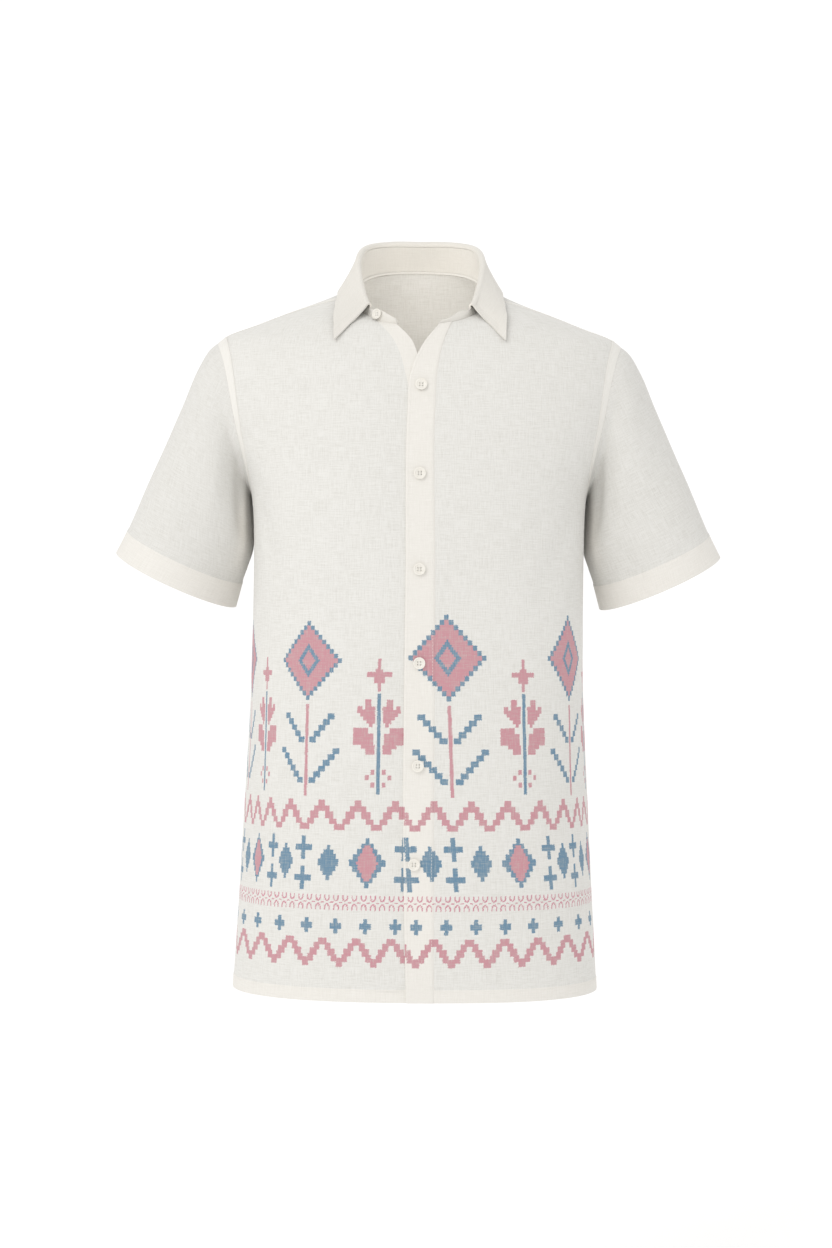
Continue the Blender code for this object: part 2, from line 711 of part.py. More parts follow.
def place_button(name, mesh, point, facing, material):
    """Lay a button on a face: its own +Z looks out of the cloth."""
    facing = Vector(facing)
    across = Vector((0.0, 0.0, 1.0)).cross(facing).normalized()
    up = facing.cross(across)
    button = place_object(name, mesh)
    button.data.materials.clear()
    button.data.materials.append(material)
    button.location = Vector(point) + facing * SEAM_GAP
    button.rotation_euler = Matrix((across, up, facing)).transposed().to_euler()
    return button


def build_placket_buttons():
    mesh = button_mesh("button", BUTTON_RADIUS)
    material = principled("shell_button", SHELL_WHITE, 0.35)
    for number, (x, height) in enumerate(BUTTONS, start=1):
        ring = np.float64(ring_at(height))
        angle = front_angle(x, ring)
        point = cloth_point(angle, ring, PLACKET_LIFT)
        place_button(f"button_{number}", mesh, point, torso_normal(angle, ring), material)


def build_collar_button():
    """The button on the right end of the stand, half way up it."""
    degrees = np.array((COLLAR_BUTTON_ANGLE - 0.5, COLLAR_BUTTON_ANGLE, COLLAR_BUTTON_ANGLE + 0.5))
    grid = stand_half(degrees, False)
    facing = grid_normal(grid) * (-1, 1, 1)
    point = grid * (-1, 1, 1)
    row = STAND_ROWS // 2
    mesh = button_mesh("small_button", COLLAR_BUTTON_RADIUS)
    material = principled("shell_button_small", SHELL_WHITE, 0.35)
    place_button("button_collar", mesh, point[row, 1], facing[row, 1], material)


def main():
    for item in list(bpy.data.objects):
        bpy.data.objects.remove(item)
    for name in (NAME, CUTTERS):
        bpy.context.scene.collection.children.link(bpy.data.collections.new(name))
    build_fronts()
    build_strips()
    build_back_and_yoke()
    build_sleeve("sleeve_left", False)
    build_sleeve("sleeve_right", True)
    build_stand()
    build_fall()
    build_placket_buttons()
    build_collar_button()


main()
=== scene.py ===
"""Looks of a short-sleeved linen shirt with a folk border print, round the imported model.

Metres, +Z up, the front faces -Y and the wearer's left is at +X. Every cloth
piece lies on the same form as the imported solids, with finer folds and edges.
"""
import math

import bpy
import numpy as np
from mathutils import Matrix, Vector


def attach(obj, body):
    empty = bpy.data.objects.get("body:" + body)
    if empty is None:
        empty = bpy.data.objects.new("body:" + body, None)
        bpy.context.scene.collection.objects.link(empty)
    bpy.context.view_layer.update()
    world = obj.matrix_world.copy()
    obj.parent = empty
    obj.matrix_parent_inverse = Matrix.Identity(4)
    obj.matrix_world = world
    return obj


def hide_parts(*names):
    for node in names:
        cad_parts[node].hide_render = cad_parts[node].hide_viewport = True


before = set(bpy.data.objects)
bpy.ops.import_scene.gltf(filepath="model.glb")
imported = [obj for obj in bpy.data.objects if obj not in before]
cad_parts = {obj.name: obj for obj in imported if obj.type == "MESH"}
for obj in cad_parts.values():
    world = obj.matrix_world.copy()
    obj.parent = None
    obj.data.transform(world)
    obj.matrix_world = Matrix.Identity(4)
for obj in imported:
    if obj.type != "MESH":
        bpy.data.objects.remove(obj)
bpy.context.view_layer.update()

# Cloth
CLOTH = 0.0010
TWO_LAYERS = 0.0016
HEM_HEIGHT = 0.013
HEM_RAISE = 0.0005
CUFF_RAISE = 0.0005
SEAM_DIP = 0.0004
SEAM_SOFTNESS = 0.0016
CUFF_HEIGHT = 0.0262

# Weave: the width of a yarn, and how strongly the yarns show
BODY_WEAVE = (0.0009, 0.22)
YOKE_WEAVE = (0.0009, 0.20)
FINE_WEAVE = (0.0007, 0.10)
SLUB_LENGTH = 0.018

# Torso rings from the hem up. Each is a rounded oval whose height may differ
# at the front, the sides and the back.
RING_COLUMNS = ("half_width", "front", "back", "front_z", "side_z", "back_z", "square")
RINGS = (
    (0.1896, 0.1250, 0.1150, -0.733, -0.733, -0.733, 2.4),
    (0.1850, 0.1240, 0.1130, -0.645, -0.645, -0.645, 2.4),
    (0.1794, 0.1230, 0.1110, -0.540, -0.540, -0.540, 2.4),
    (0.1742, 0.1220, 0.1090, -0.435, -0.435, -0.435, 2.5),
    (0.1715, 0.1215, 0.1100, -0.330, -0.330, -0.330, 2.5),
    (0.1722, 0.1215, 0.1130, -0.255, -0.255, -0.255, 2.5),
    (0.1745, 0.1210, 0.1145, -0.213, -0.213, -0.213, 2.5),
    (0.1890, 0.1195, 0.1155, -0.184, -0.180, -0.178, 2.4),
    (0.2130, 0.1160, 0.1155, -0.150, -0.134, -0.128, 2.2),
    (0.2240, 0.1090, 0.1125, -0.119, -0.089, -0.083, 2.05),
    (0.2105, 0.1020, 0.1070, -0.095, -0.056, -0.052, 1.95),
    (0.1770, 0.0955, 0.1010, -0.081, -0.047, -0.038, 2.0),
    (0.1410, 0.0900, 0.0950, -0.070, -0.031, -0.015, 2.05),
    (0.1040, 0.0852, 0.0880, -0.060, -0.019, 0.001, 2.1),
    (0.0680, 0.0810, 0.0800, -0.051, -0.009, 0.025, 2.1),
)
HEM_Z = RINGS[0][3]
ARMPIT_RING = 6
SHOULDER_RING = 10
NECK_RING = len(RINGS) - 1
ARMHOLE_REACH = math.radians(16.5)
ARMHOLE_STEPS = 55
YOKE_STEP = 40
HEM_ROWS = (0.0, 0.0007, 0.0022, 0.0060, 0.0100, 0.0122, 0.0130, 0.0136, 0.0150)
ROWS_BELOW_ARM = 122
ROWS_OVER_SHOULDER = 40
FRONT_COLUMNS = 76
BACK_COLUMNS = 128
STRIP_SHARES = (0, 0.015, 0.035, 0.06, 0.12, 0.25, 0.4, 0.55, 0.7, 0.85, 0.93, 0.965, 0.985, 1)
EDGE_SHARES = (0.002, 0.005, 0.009)
ARMHOLE_FADE = 0.4

# Front edges: where each strip starts and ends across the front, by height.
STRIP_COLUMNS = ("z", "left_x", "right_x")
PLACKET = (
    (-0.733, -0.0090, 0.0190),
    (-0.600, -0.0125, 0.0180),
    (-0.300, -0.0125, 0.0172),
    (-0.140, -0.0118, 0.0160),
    (-0.105, -0.0096, 0.0178),
    (-0.082, -0.0020, 0.0212),
    (-0.066, 0.0068, 0.0258),
    (-0.051, 0.0195, 0.0325),
)
BAND = (
    (-0.733, -0.0070, 0.0160),
    (-0.300, -0.0090, 0.0145),
    (-0.150, -0.0095, 0.0135),
    (-0.118, -0.0108, 0.0110),
    (-0.100, -0.0150, 0.0050),
    (-0.082, -0.0200, -0.0022),
    (-0.066, -0.0285, -0.0090),
    (-0.051, -0.0440, -0.0240),
)
PLACKET_LIFT = 0.0010
BAND_DIP = 0.0012
DIP_SHARE = 0.15
STRIP_ROUNDING = 0.05

# Sleeve ovals from the armhole to the cuff, for the wearer's left
# with columns: along, outer x and z, inner x and z, half depth, drop
SLEEVE = (
    (0.00, 0.2070, -0.0590, 0.1755, -0.2110, 0.0600, 0.000),
    (0.07, 0.2180, -0.0670, 0.1762, -0.2155, 0.0610, 0.000),
    (0.18, 0.2312, -0.0870, 0.1754, -0.2320, 0.0605, 0.001),
    (0.36, 0.2488, -0.1300, 0.1738, -0.2560, 0.0580, 0.003),
    (0.54, 0.2662, -0.1720, 0.1738, -0.2770, 0.0555, 0.005),
    (0.72, 0.2850, -0.2125, 0.1804, -0.2955, 0.0530, 0.006),
    (0.88, 0.3044, -0.2564, 0.1863, -0.3114, 0.0505, 0.008),
    (1.00, 0.3168, -0.2820, 0.1929, -0.3376, 0.0490, 0.009),
)
SLEEVE_ROWS = 56
SLEEVE_HEM = 0.88
CAP_FADE = 0.55
INNER_LEAN = 0.020
LEAN_FADE = 0.12
FOLD_SHARPNESS = 0.3

# Collar, from the front end of the stand round to the centre back
COLLAR_COLUMNS = ("angle", "crest_x", "crest_y", "crest_z", "edge_angle", "edge_ring", "edge_off")
COLLAR = (
    (38, 0.0495, -0.0550, -0.0265, 45.5, 10.87, 0.0042),
    (50, 0.0530, -0.0440, -0.0190, 51.0, 12.05, 0.0042),
    (64, 0.0555, -0.0300, -0.0100, 60.0, 12.92, 0.0040),
    (85, 0.0600, -0.0070, 0.0100, 77.0, 13.42, 0.0040),
    (110, 0.0620, 0.0160, 0.0330, 99.0, 13.52, 0.0045),
    (132, 0.0560, 0.0400, 0.0480, 124.0, 13.46, 0.0050),
    (156, 0.0340, 0.0570, 0.0545, 152.0, 13.40, 0.0060),
    (180, 0.0000, 0.0630, 0.0555, 180.0, 13.40, 0.0075),
)
STAND_END_RIGHT = (
    (16.5, 0.0243, -0.0775, -0.0445),
    (20.0, 0.0290, -0.0725, -0.0415),
    (27.0, 0.0370, -0.0665, -0.0362),
)
STAND_END_LEFT = (
    (13.8, 0.0200, -0.0785, -0.0465),
    (18.0, 0.0270, -0.0745, -0.0438),
    (26.0, 0.0360, -0.0675, -0.0380),
)
ROLL_RADIUS = 0.0027
ROLL_LEG = 0.0010
FALL_THICKNESS = 0.0018
FALL_SWELL = 0.0012
FALL_CLEARANCE = 0.0010
STAND_SWELL = 0.0006
STAND_GAP = 0.0003
STAND_SUNK = 0.0009
STAND_ROWS = 9
COLLAR_COLUMN_COUNT = 56
END_COLUMN_COUNT = 16
ROLL_ROWS = 11
LEAF_ROWS = 24

# Sewn-down strips that lie on the seams
TAPE_COLUMNS = 7
TAPE_LIFT = 0.0004
TAPE_SUNK = 0.0006
ARMHOLE_TAPE = 0.0070
ARMHOLE_LAP = 0.024
SHOULDER_TAPE = (0.0055, 0.0040)
YOKE_TAPE = 0.0050
NECK_TAPE = 0.0022

# Stitches
STITCH_STEP = 0.0032
STITCH_LENGTH = 0.0023
STITCH_RADIUS = 0.00021
STRIP_STITCH = 0.0024
SEAM_STITCH = 0.0016
EDGE_STITCH = 0.0012

# Buttons
BUTTON_RADIUS = 0.0062
COLLAR_BUTTON_RADIUS = 0.0054
BUTTON_THICKNESS = 0.0026
COLLAR_BUTTON_ANGLE = 32.0
BUTTON_GAP = 0.0003
BUTTONS = (
    (0.0017, -0.1150),
    (0.0009, -0.2044),
    (0.0012, -0.3003),
    (0.0017, -0.3942),
    (0.0011, -0.4968),
    (-0.0020, -0.5950),
)

# Soft folds: each is a trough, or a ridge where its depth is below nought,
# from one place round and up the piece to another
# with columns: start angle, start height, end angle, end height, width, depth
TORSO_FOLDS = (
    (72, -0.215, 52, -0.330, 0.013, 0.0022),
    (289, -0.220, 305, -0.345, 0.012, 0.0026),
    (80, -0.400, 74, -0.640, 0.018, 0.0020),
    (283, -0.430, 290, -0.690, 0.018, 0.0022),
    (106, -0.215, 126, -0.330, 0.014, 0.0026),
    (254, -0.215, 236, -0.320, 0.014, 0.0024),
    (150, -0.330, 146, -0.640, 0.020, 0.0026),
    (206, -0.350, 212, -0.660, 0.020, 0.0022),
    (64, -0.225, 40, -0.290, 0.010, 0.0008),
    (294, -0.235, 322, -0.300, 0.010, 0.0009),
    (66, -0.300, 58, -0.420, 0.012, -0.0008),
    (300, -0.310, 308, -0.440, 0.012, -0.0009),
    (116, -0.230, 140, -0.290, 0.010, 0.0010),
    (244, -0.240, 222, -0.300, 0.010, 0.0012),
    (168, -0.240, 164, -0.420, 0.016, -0.0010),
    (194, -0.260, 198, -0.450, 0.016, -0.0011),
)
DEGREE_OF_GIRTH = 0.0027
SLEEVE_FOLDS = (
    (60, 0.02, 40, 0.50, 0.012, 0.0035),
    (78, 0.10, 66, 0.62, 0.014, 0.0020),
    (300, 0.02, 322, 0.48, 0.012, 0.0035),
    (282, 0.12, 290, 0.60, 0.014, 0.0022),
    (104, 0.08, 92, 0.70, 0.012, 0.0009),
    (256, 0.10, 268, 0.66, 0.012, 0.0010),
    (24, 0.10, 20, 0.66, 0.012, 0.0014),
    (338, 0.14, 342, 0.70, 0.012, 0.0015),
)
DEGREE_OF_SLEEVE = 0.0011
SLEEVE_LENGTH = 0.20
# How hung cloth rises and falls: height, turns round, turns up, start
LIE = (
    (0.0004, 3.0, 11.0, 0.7),
    (0.0003, 5.0, -17.0, 2.1),
    (0.0002, 8.0, 29.0, 4.4),
)

# Print: where each motif stands across the shirt and how often, in millimetres
PHASE_COLUMNS = (
    "diamond", "diamond_middle", "diamond_size", "flower", "lean", "zigzag", "lozenge",
    "cross", "cross_step", "hem_zigzag", "hem_step",
)
TOP_FRONT = (30.4, 344.1, 1.0, 109.0, 0.04, 17.5, 105.0, 0.6, 29.7, 18.0, 35.5)
UNDER_FRONT = (-113.0, 340.5, 0.92, -38.0, -0.01, -21.0, -49.0, -20.0, 30.0, -24.0, 34.6)
BACK = (0.0, 344.1, 0.96, 75.0, 0.0, 6.0, 60.0, 0.0, 29.8, 0.0, 35.4)
MOTIF_STEP = 150.0
ZIGZAG_STEP = 37.5
REFERENCE_Z = -0.543
SPREAD_START = 110.0
SPREAD_LIMIT = 0.6
SPREAD_UNDER = 0.0055
SPREAD_TOP = 0.0030

# Bars of the chart: from one distance to another either side of a motif's
# middle, and from one height above the hem to another, in millimetres. The
# small lozenge's heights are those from its own middle.
FLOWER_PINK = (
    (0.0, 1.8, 333.0, 343.0),
    (0.0, 3.8, 329.7, 333.0),
    (0.0, 12.7, 324.9, 329.8),
    (0.0, 5.5, 318.5, 325.0),
    (0.0, 1.6, 310.2, 318.6),
    (7.7, 14.2, 295.0, 302.3),
    (3.7, 14.2, 291.5, 295.4),
    (17.0, 21.7, 290.0, 295.5),
    (4.0, 22.0, 288.4, 292.0),
    (4.0, 19.0, 285.0, 288.6),
    (4.0, 16.0, 281.5, 285.1),
    (4.0, 12.5, 278.0, 281.6),
    (6.2, 9.7, 274.5, 278.1),
    (10.8, 26.0, 256.7, 274.0),
    (5.2, 10.9, 256.7, 268.3),
    (3.9, 13.1, 247.3, 256.8),
    (13.1, 18.0, 252.8, 256.8),
    (3.7, 7.5, 227.3, 232.1),
    (9.5, 13.3, 221.8, 226.6),
    (3.7, 7.5, 214.5, 219.3),
)
FLOWER_BLUE = ((0.0, 1.8, 207.5, 308.4),)
DIAMOND_STEM = ((0.0, 1.85, 204.6, 296.5),)
ZIGZAG = (
    (0.0, 3.5, 189.9, 201.3),
    (3.4, 8.4, 182.6, 195.4),
    (8.0, 12.5, 177.0, 189.9),
    (12.4, 15.7, 177.0, 182.6),
    (13.2, 18.8, 171.1, 177.2),
)
TALL_CROSSES = (
    (0.0, 9.6, 149.9, 156.1),
    (0.0, 2.4, 141.1, 164.9),
    (0.0, 9.6, 119.5, 125.7),
    (0.0, 2.4, 110.7, 134.5),
)
SMALL_LOZENGE = (
    (0.0, 10.6, -1.0, 3.5),
    (0.0, 8.0, 3.4, 8.6),
    (0.0, 5.2, 8.5, 13.0),
    (0.0, 1.9, 12.9, 17.7),
)
SMALL_CROSS = (
    (0.0, 5.9, 72.4, 78.4),
    (0.0, 2.0, 67.8, 83.0),
)
CHAIN = (
    (1.7, 2.9, 102.6, 106.2),
    (0.8, 2.4, 101.0, 102.8),
    (0.0, 1.2, 100.2, 101.5),
    (1.8, 2.9, 91.3, 95.3),
    (0.8, 2.4, 95.1, 96.8),
    (0.0, 1.2, 96.6, 97.9),
)
HEM_ZIGZAG = (
    (0.0, 4.6, 56.2, 63.5),
    (2.7, 8.7, 50.9, 58.7),
    (5.5, 12.9, 45.4, 53.0),
    (9.1, 14.9, 39.6, 47.2),
    (14.1, 18.0, 34.8, 43.5),
)

# Colours, as light reflected
SHARP_EDGE = math.radians(50)
LINEN = (0.727, 0.719, 0.692, 1.0)
SLEEVE_LINEN = (0.702, 0.694, 0.668, 1.0)
WARM_LINEN = (0.780, 0.759, 0.720, 1.0)
COLLAR_LINEN = (0.742, 0.721, 0.678, 1.0)
TAPE_LINEN = (0.800, 0.785, 0.750, 1.0)
GRAIN = (0.62, 0.60, 0.55, 1.0)
PINK = (0.540, 0.264, 0.302, 1.0)
DEEP_PINK = (0.554, 0.215, 0.278, 1.0)
BLUE = (0.131, 0.240, 0.344, 1.0)
THREAD = ((0.786, 0.770, 0.732, 1.0), (0.714, 0.696, 0.652, 1.0))
SHELL = ((0.804, 0.788, 0.746, 1.0), (0.750, 0.714, 0.643, 1.0))

# Stage: the floor's height, where it starts to rise, the curve's radius and its spread
FLOOR_Z = -1.15
FLOOR_RISE = 0.4
FLOOR_CURVE = 3.0
FLOOR_WIDTH = 9
FLOOR_DEPTH = 12

# Camera
LENS = 67.3
CAMERA_PLACE = (-0.0018, -2.45, -0.355)
CAMERA_ROLL = math.radians(0.44)

# Lights: name, place, aim, width, height, watts, colour. Real linen this thin lets
# light through, so three of them stand inside the neck and the folds under the arms.
LIGHTS = (
    ("soft_key", (-1.9, -2.7, 1.8), (0, 0, -0.35), 1.8, 1.8, 36, (1.0, 0.985, 0.96)),
    ("through_the_front", (0, -0.03, -0.08), (0, 0.08, 0.03), 0.08, 0.08, 0.10, (1.0, 0.95, 0.88)),
    ("through_sleeve_left", (0.1728, -0.022, -0.262), (0.2, -0.005, -0.262), 0.004, 0.09, 0.0015,
     (1.0, 0.92, 0.84)),
    ("through_sleeve_right", (-0.1728, -0.022, -0.262), (-0.2, -0.005, -0.262), 0.004, 0.09, 0.0015,
     (1.0, 0.92, 0.84)),
)


def smooth(keys, rows, value):
    """Read a table at a value of its keys, on one smooth curve through its rows."""
    keys = np.asarray(keys, float)
    rows = np.asarray(rows, float)
    value = np.clip(np.asarray(value, float), keys[0], keys[-1])
    slopes = np.gradient(rows, keys, axis=0)
    low = np.clip(np.searchsorted(keys, value, side="right") - 1, 0, len(keys) - 2)
    step = keys[low + 1] - keys[low]
    part = ((value - keys[low]) / step)[..., None]
    step = step[..., None]
    square = part ** 2
    cube = part ** 3
    return (
        (2 * cube - 3 * square + 1) * rows[low]
        + (cube - 2 * square + part) * step * slopes[low]
        + (3 * square - 2 * cube) * rows[low + 1]
        + (cube - square) * step * slopes[low + 1]
    )


def by_key(rows, value):
    """Read a table whose first column is its key."""
    return smooth([row[0] for row in rows], rows, value)


def ring_row(ring):
    """The torso's sizes at a ring number, blended softly over the rows around it."""
    rows = np.asarray(RINGS, float)
    rows = np.vstack((2 * rows[0] - rows[1], rows, 2 * rows[-1] - rows[-2]))
    ring = np.clip(np.asarray(ring, float), 0, NECK_RING)
    low = np.minimum(ring.astype(int), NECK_RING - 1)
    part = (ring - low)[..., None]
    shares = (
        (1 - part) ** 3,
        3 * part ** 3 - 6 * part ** 2 + 4,
        -3 * part ** 3 + 3 * part ** 2 + 3 * part + 1,
        part ** 3,
    )
    return sum(share * rows[low + k] for k, share in enumerate(shares)) / 6


def unit(vectors):
    return vectors / np.linalg.norm(vectors, axis=-1, keepdims=True)


def ease(value):
    value = np.clip(value, 0.0, 1.0)
    return value * value * (3 - 2 * value)


def torso(angle, ring):
    """A point of the torso: angle 0 is the centre front, pi/2 is at +X."""
    angle, ring = np.broadcast_arrays(np.asarray(angle, float), np.asarray(ring, float))
    row = np.moveaxis(ring_row(ring), -1, 0)
    half_width, front, back, front_z, side_z, back_z, square = row
    side = np.sin(angle)
    ahead = np.cos(angle)
    depth = np.where(ahead > 0, front, back)
    radius = (np.abs(side / half_width) ** square + np.abs(ahead / depth) ** square) ** (-1 / square)
    tilt = (back_z - front_z) / 2
    saddle = (front_z + back_z) / 2 - side_z
    height = side_z - tilt * ahead + saddle * ahead ** 2
    return np.stack((radius * side, -radius * ahead, height), axis=-1)


def facing_out(surface, across, up, top):
    """The direction across a surface that is read by two numbers, the second from 0 to top."""
    step = 0.01
    round_it = surface(across + step, up) - surface(across - step, up)
    up = np.clip(up, step, top - step)
    up_it = surface(across, up + step) - surface(across, up - step)
    return unit(np.cross(round_it, up_it))


def torso_normal(angle, ring):
    """The outward direction of the torso's surface."""
    return facing_out(torso, angle, ring, NECK_RING)


def fold_relief(folds, across, up, scale):
    """Depth of a set of troughs at a place, each trough deepest at its middle."""
    relief = np.zeros(across.shape)
    for start_across, start_up, end_across, end_up, width, depth in folds:
        along = np.array(((end_across - start_across) * scale[0], (end_up - start_up) * scale[1]))
        offset = np.stack(((across - start_across) * scale[0], (up - start_up) * scale[1]), axis=-1)
        place = np.clip(offset @ along / (along @ along), 0, 1)
        away = np.linalg.norm(offset - place[..., None] * along, axis=-1)
        relief -= depth * np.sin(math.pi * (0.15 + 0.7 * place)) * np.exp(-(away / width) ** 2)
    return relief


def lie_of_cloth(angle, height):
    """The slow, uneven rise and fall of cloth that hangs."""
    return sum(
        size * np.sin(turns * angle + rise * height + start)
        for size, turns, rise, start in LIE
    )


def cloth_point(angle, ring, lift=0.0):
    """A point of the torso's outer face, with its folds, raised by lift."""
    angle, ring = np.broadcast_arrays(np.asarray(angle, float), np.asarray(ring, float))
    point = torso(angle, ring)
    turned = np.degrees(np.mod(angle, 2 * math.pi))
    raised = lift + fold_relief(TORSO_FOLDS, turned, point[..., 2], (DEGREE_OF_GIRTH, 1))
    raised = raised + lie_of_cloth(angle, point[..., 2])
    return point + torso_normal(angle, ring) * np.asarray(raised)[..., None]


def side_angle(ring, side):
    """Angle of a panel's side edge: the side seam, the armhole, the yoke seam."""
    up = (ring - ARMPIT_RING) / (SHOULDER_RING - ARMPIT_RING)
    across = np.sqrt(np.clip(1 - (2 * up - 1) ** 2, 0, 1))
    return math.pi / 2 + side * ARMHOLE_REACH * across


def front_angle(x, ring):
    """The angle at which a ring's front passes a place across the shirt."""
    half_width, front, _, _, _, _, square = np.moveaxis(ring_row(ring), -1, 0)
    depth = front * (1 - np.abs(x / half_width) ** square) ** (1 / square)
    return np.arctan2(x, depth)


def strip_x(rows, column, ring):
    """Where the edge of a front strip lies across the front, read at the ring's height."""
    height = ring_row(ring)[..., RING_COLUMNS.index("front_z")]
    return by_key(rows, height)[..., STRIP_COLUMNS.index(column)]


def ring_at(height):
    """The ring whose front lies at a height."""
    rings = np.linspace(0, NECK_RING, 2000)
    heights = ring_row(rings)[:, RING_COLUMNS.index("front_z")]
    return np.interp(height, heights, rings)


def panel_rings(at_armhole=False):
    """The rings that every panel's rows lie on, evenly spread or as the armhole's steps."""
    hem_rings = ring_at(HEM_Z + np.array(HEM_ROWS))
    armpit_z = ring_row(float(ARMPIT_RING))[RING_COLUMNS.index("front_z")]
    below = ring_at(np.linspace(HEM_Z + HEM_ROWS[-1], armpit_z, ROWS_BELOW_ARM)[1:-1])
    share = np.arange(ARMHOLE_STEPS + 1) / ARMHOLE_STEPS
    if at_armhole:
        share = (1 - np.cos(math.pi * share)) / 2
    beside = ARMPIT_RING + (SHOULDER_RING - ARMPIT_RING) * share
    above = np.linspace(SHOULDER_RING, NECK_RING, ROWS_OVER_SHOULDER + 1)[1:]
    return np.concatenate((hem_rings, below, beside, above))


def yoke_row():
    """The row that the yoke's lower seam lies on."""
    return int(np.searchsorted(panel_rings(), ARMPIT_RING - 1e-9)) + YOKE_STEP


def corner_table(rows, columns, wrapped):
    """Each face of a wall as four corners: layer, row and column."""
    faces = []
    top = rows - 1
    last = columns - 1
    for column in range(columns if wrapped else last):
        after = column + 1
        for row in range(top):
            corners = ((row, column), (row, after), (row + 1, after), (row + 1, column))
            faces.append([(0, *corner) for corner in corners])
            faces.append([(1, *corner) for corner in reversed(corners)])
        faces.append([(1, 0, column), (1, 0, after), (0, 0, after), (0, 0, column)])
        faces.append([(0, top, column), (0, top, after), (1, top, after), (1, top, column)])
    for row in range(0 if wrapped else top):
        after = row + 1
        faces.append([(0, row, 0), (0, after, 0), (1, after, 0), (1, row, 0)])
        faces.append([(1, row, last), (1, after, last), (0, after, last), (0, row, last)])
    return np.array(faces)


def lengths(points, axis, wrapped=False):
    """Distance along a grid of points from its first row or column, in metres."""
    if wrapped:
        points = np.concatenate((points, points[:, :1]), axis=1)
    steps = np.linalg.norm(np.diff(points, axis=axis), axis=-1)
    start = np.zeros_like(np.take(steps, [0], axis=axis))
    return np.concatenate((start, np.cumsum(steps, axis=axis)), axis=axis)


def wall(name, outer, inner, material, across, up, printed=None, wrapped=False):
    """A closed cloth wall between two grids of points, with the cloth's own map in metres."""
    rows, columns = outer.shape[:2]
    corners = corner_table(rows, columns, wrapped)
    layer, row, column = np.moveaxis(corners, -1, 0)
    index = layer * rows * columns + row * columns + column % columns
    vertices = np.concatenate((outer.reshape(-1, 3), inner.reshape(-1, 3)))
    mesh = bpy.data.meshes.new(name)
    mesh.from_pydata(vertices.tolist(), [], index.tolist())
    cloth_map = mesh.uv_layers.new(name="cloth")
    places = np.stack((across[row, column], up[row, column]), axis=-1)
    cloth_map.data.foreach_set("uv", places.ravel())
    if printed is not None:
        stored = mesh.attributes.new("print_place", "FLOAT_VECTOR", "POINT")
        stored.data.foreach_set("vector", np.concatenate((printed, printed)).ravel())
    inside = mesh.attributes.new("inside", "FLOAT", "POINT")
    inside.data.foreach_set("value", np.repeat((0.0, 1.0), rows * columns))
    mesh.shade_smooth()
    mesh.set_sharp_from_angle(angle=SHARP_EDGE)
    mesh.materials.append(material)
    piece = bpy.data.objects.new(name, mesh)
    bpy.context.scene.collection.objects.link(piece)
    return piece


def cloth_sheet(outer, extras=(), wrapped=False):
    """Measure the flat size and area that a cloth piece's own grid gives; nothing is kept."""
    width = float(lengths(outer, 1, wrapped)[:, -1].max())
    length = float(lengths(outer, 0, wrapped)[-1].max())
    if wrapped:
        outer = np.concatenate((outer, outer[:, :1]), axis=1)
    one = np.cross(outer[1:, 1:] - outer[:-1, :-1], outer[1:, :-1] - outer[:-1, 1:])
    area = float(np.linalg.norm(one, axis=-1).sum() / 2)
    flat = (round(width, 4), round(length, 4))
    area = round(min(max(area, 0.301 * flat[0] * flat[1]), flat[0] * flat[1]), 5)


def dress(piece, slot, *nodes):
    """Set a piece on the one body, in place of the solids that it stands for."""
    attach(piece, "root")
    if nodes:
        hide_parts(*nodes)


class Number:
    """A number that changes over the cloth, worked out by Math nodes."""

    def __init__(self, tree, socket):
        self.tree = tree
        self.socket = socket

    def use(self, operation, *others):
        node = self.tree.nodes.new("ShaderNodeMath")
        node.operation = operation
        for place, value in enumerate((self, *others)):
            if isinstance(value, Number):
                self.tree.links.new(value.socket, node.inputs[place])
            else:
                node.inputs[place].default_value = value
        return Number(self.tree, node.outputs[0])

    def __add__(self, other):
        return self.use("ADD", other)

    def __sub__(self, other):
        return self.use("SUBTRACT", other)

    def __mul__(self, other):
        return self.use("MULTIPLY", other)

    def __truediv__(self, other):
        return self.use("DIVIDE", other)

    def size(self):
        return self.use("ABSOLUTE")

    def whole(self):
        return self.use("ROUND")

    def below(self, limit):
        return self.use("LESS_THAN", limit)

    def within(self, middle, reach):
        return self.use("COMPARE", middle, reach)

    def or_else(self, other):
        return self.use("MAXIMUM", other)

    def both(self, other):
        return self.use("MINIMUM", other)

    def repeat(self, start, step):
        """Distance from the nearest of a row of places, one step apart."""
        moved = self - start
        half = step * 0.5
        if isinstance(half, Number):
            return moved.use("WRAP", half, half * -1.0)
        return moved.use("WRAP", half, -half)


def new_group(name, inputs, outputs):
    """An empty node group with named number sockets."""
    group = bpy.data.node_groups.new(name, "ShaderNodeTree")
    for label in inputs:
        group.interface.new_socket(name=label, in_out="INPUT", socket_type="NodeSocketFloat")
    for label in outputs:
        group.interface.new_socket(name=label, in_out="OUTPUT", socket_type="NodeSocketFloat")
    source = group.nodes.new("NodeGroupInput")
    finish = group.nodes.new("NodeGroupOutput")
    given = {label: Number(group, source.outputs[label]) for label in inputs}
    return group, given, finish


def noise(tree, across, up, step_across, step_up, detail=1.0):
    """Noise on the cloth's map, with its own grain along each thread."""
    combine = tree.nodes.new("ShaderNodeCombineXYZ")
    tree.links.new((across / step_across).socket, combine.inputs["X"])
    tree.links.new((up / step_up).socket, combine.inputs["Y"])
    texture = tree.nodes.new("ShaderNodeTexNoise")
    texture.noise_dimensions = "2D"
    texture.inputs["Scale"].default_value = 1.0
    texture.inputs["Detail"].default_value = detail
    texture.inputs["Roughness"].default_value = 0.6
    tree.links.new(combine.outputs["Vector"], texture.inputs["Vector"])
    return Number(tree, texture.outputs["Fac"]) - 0.5


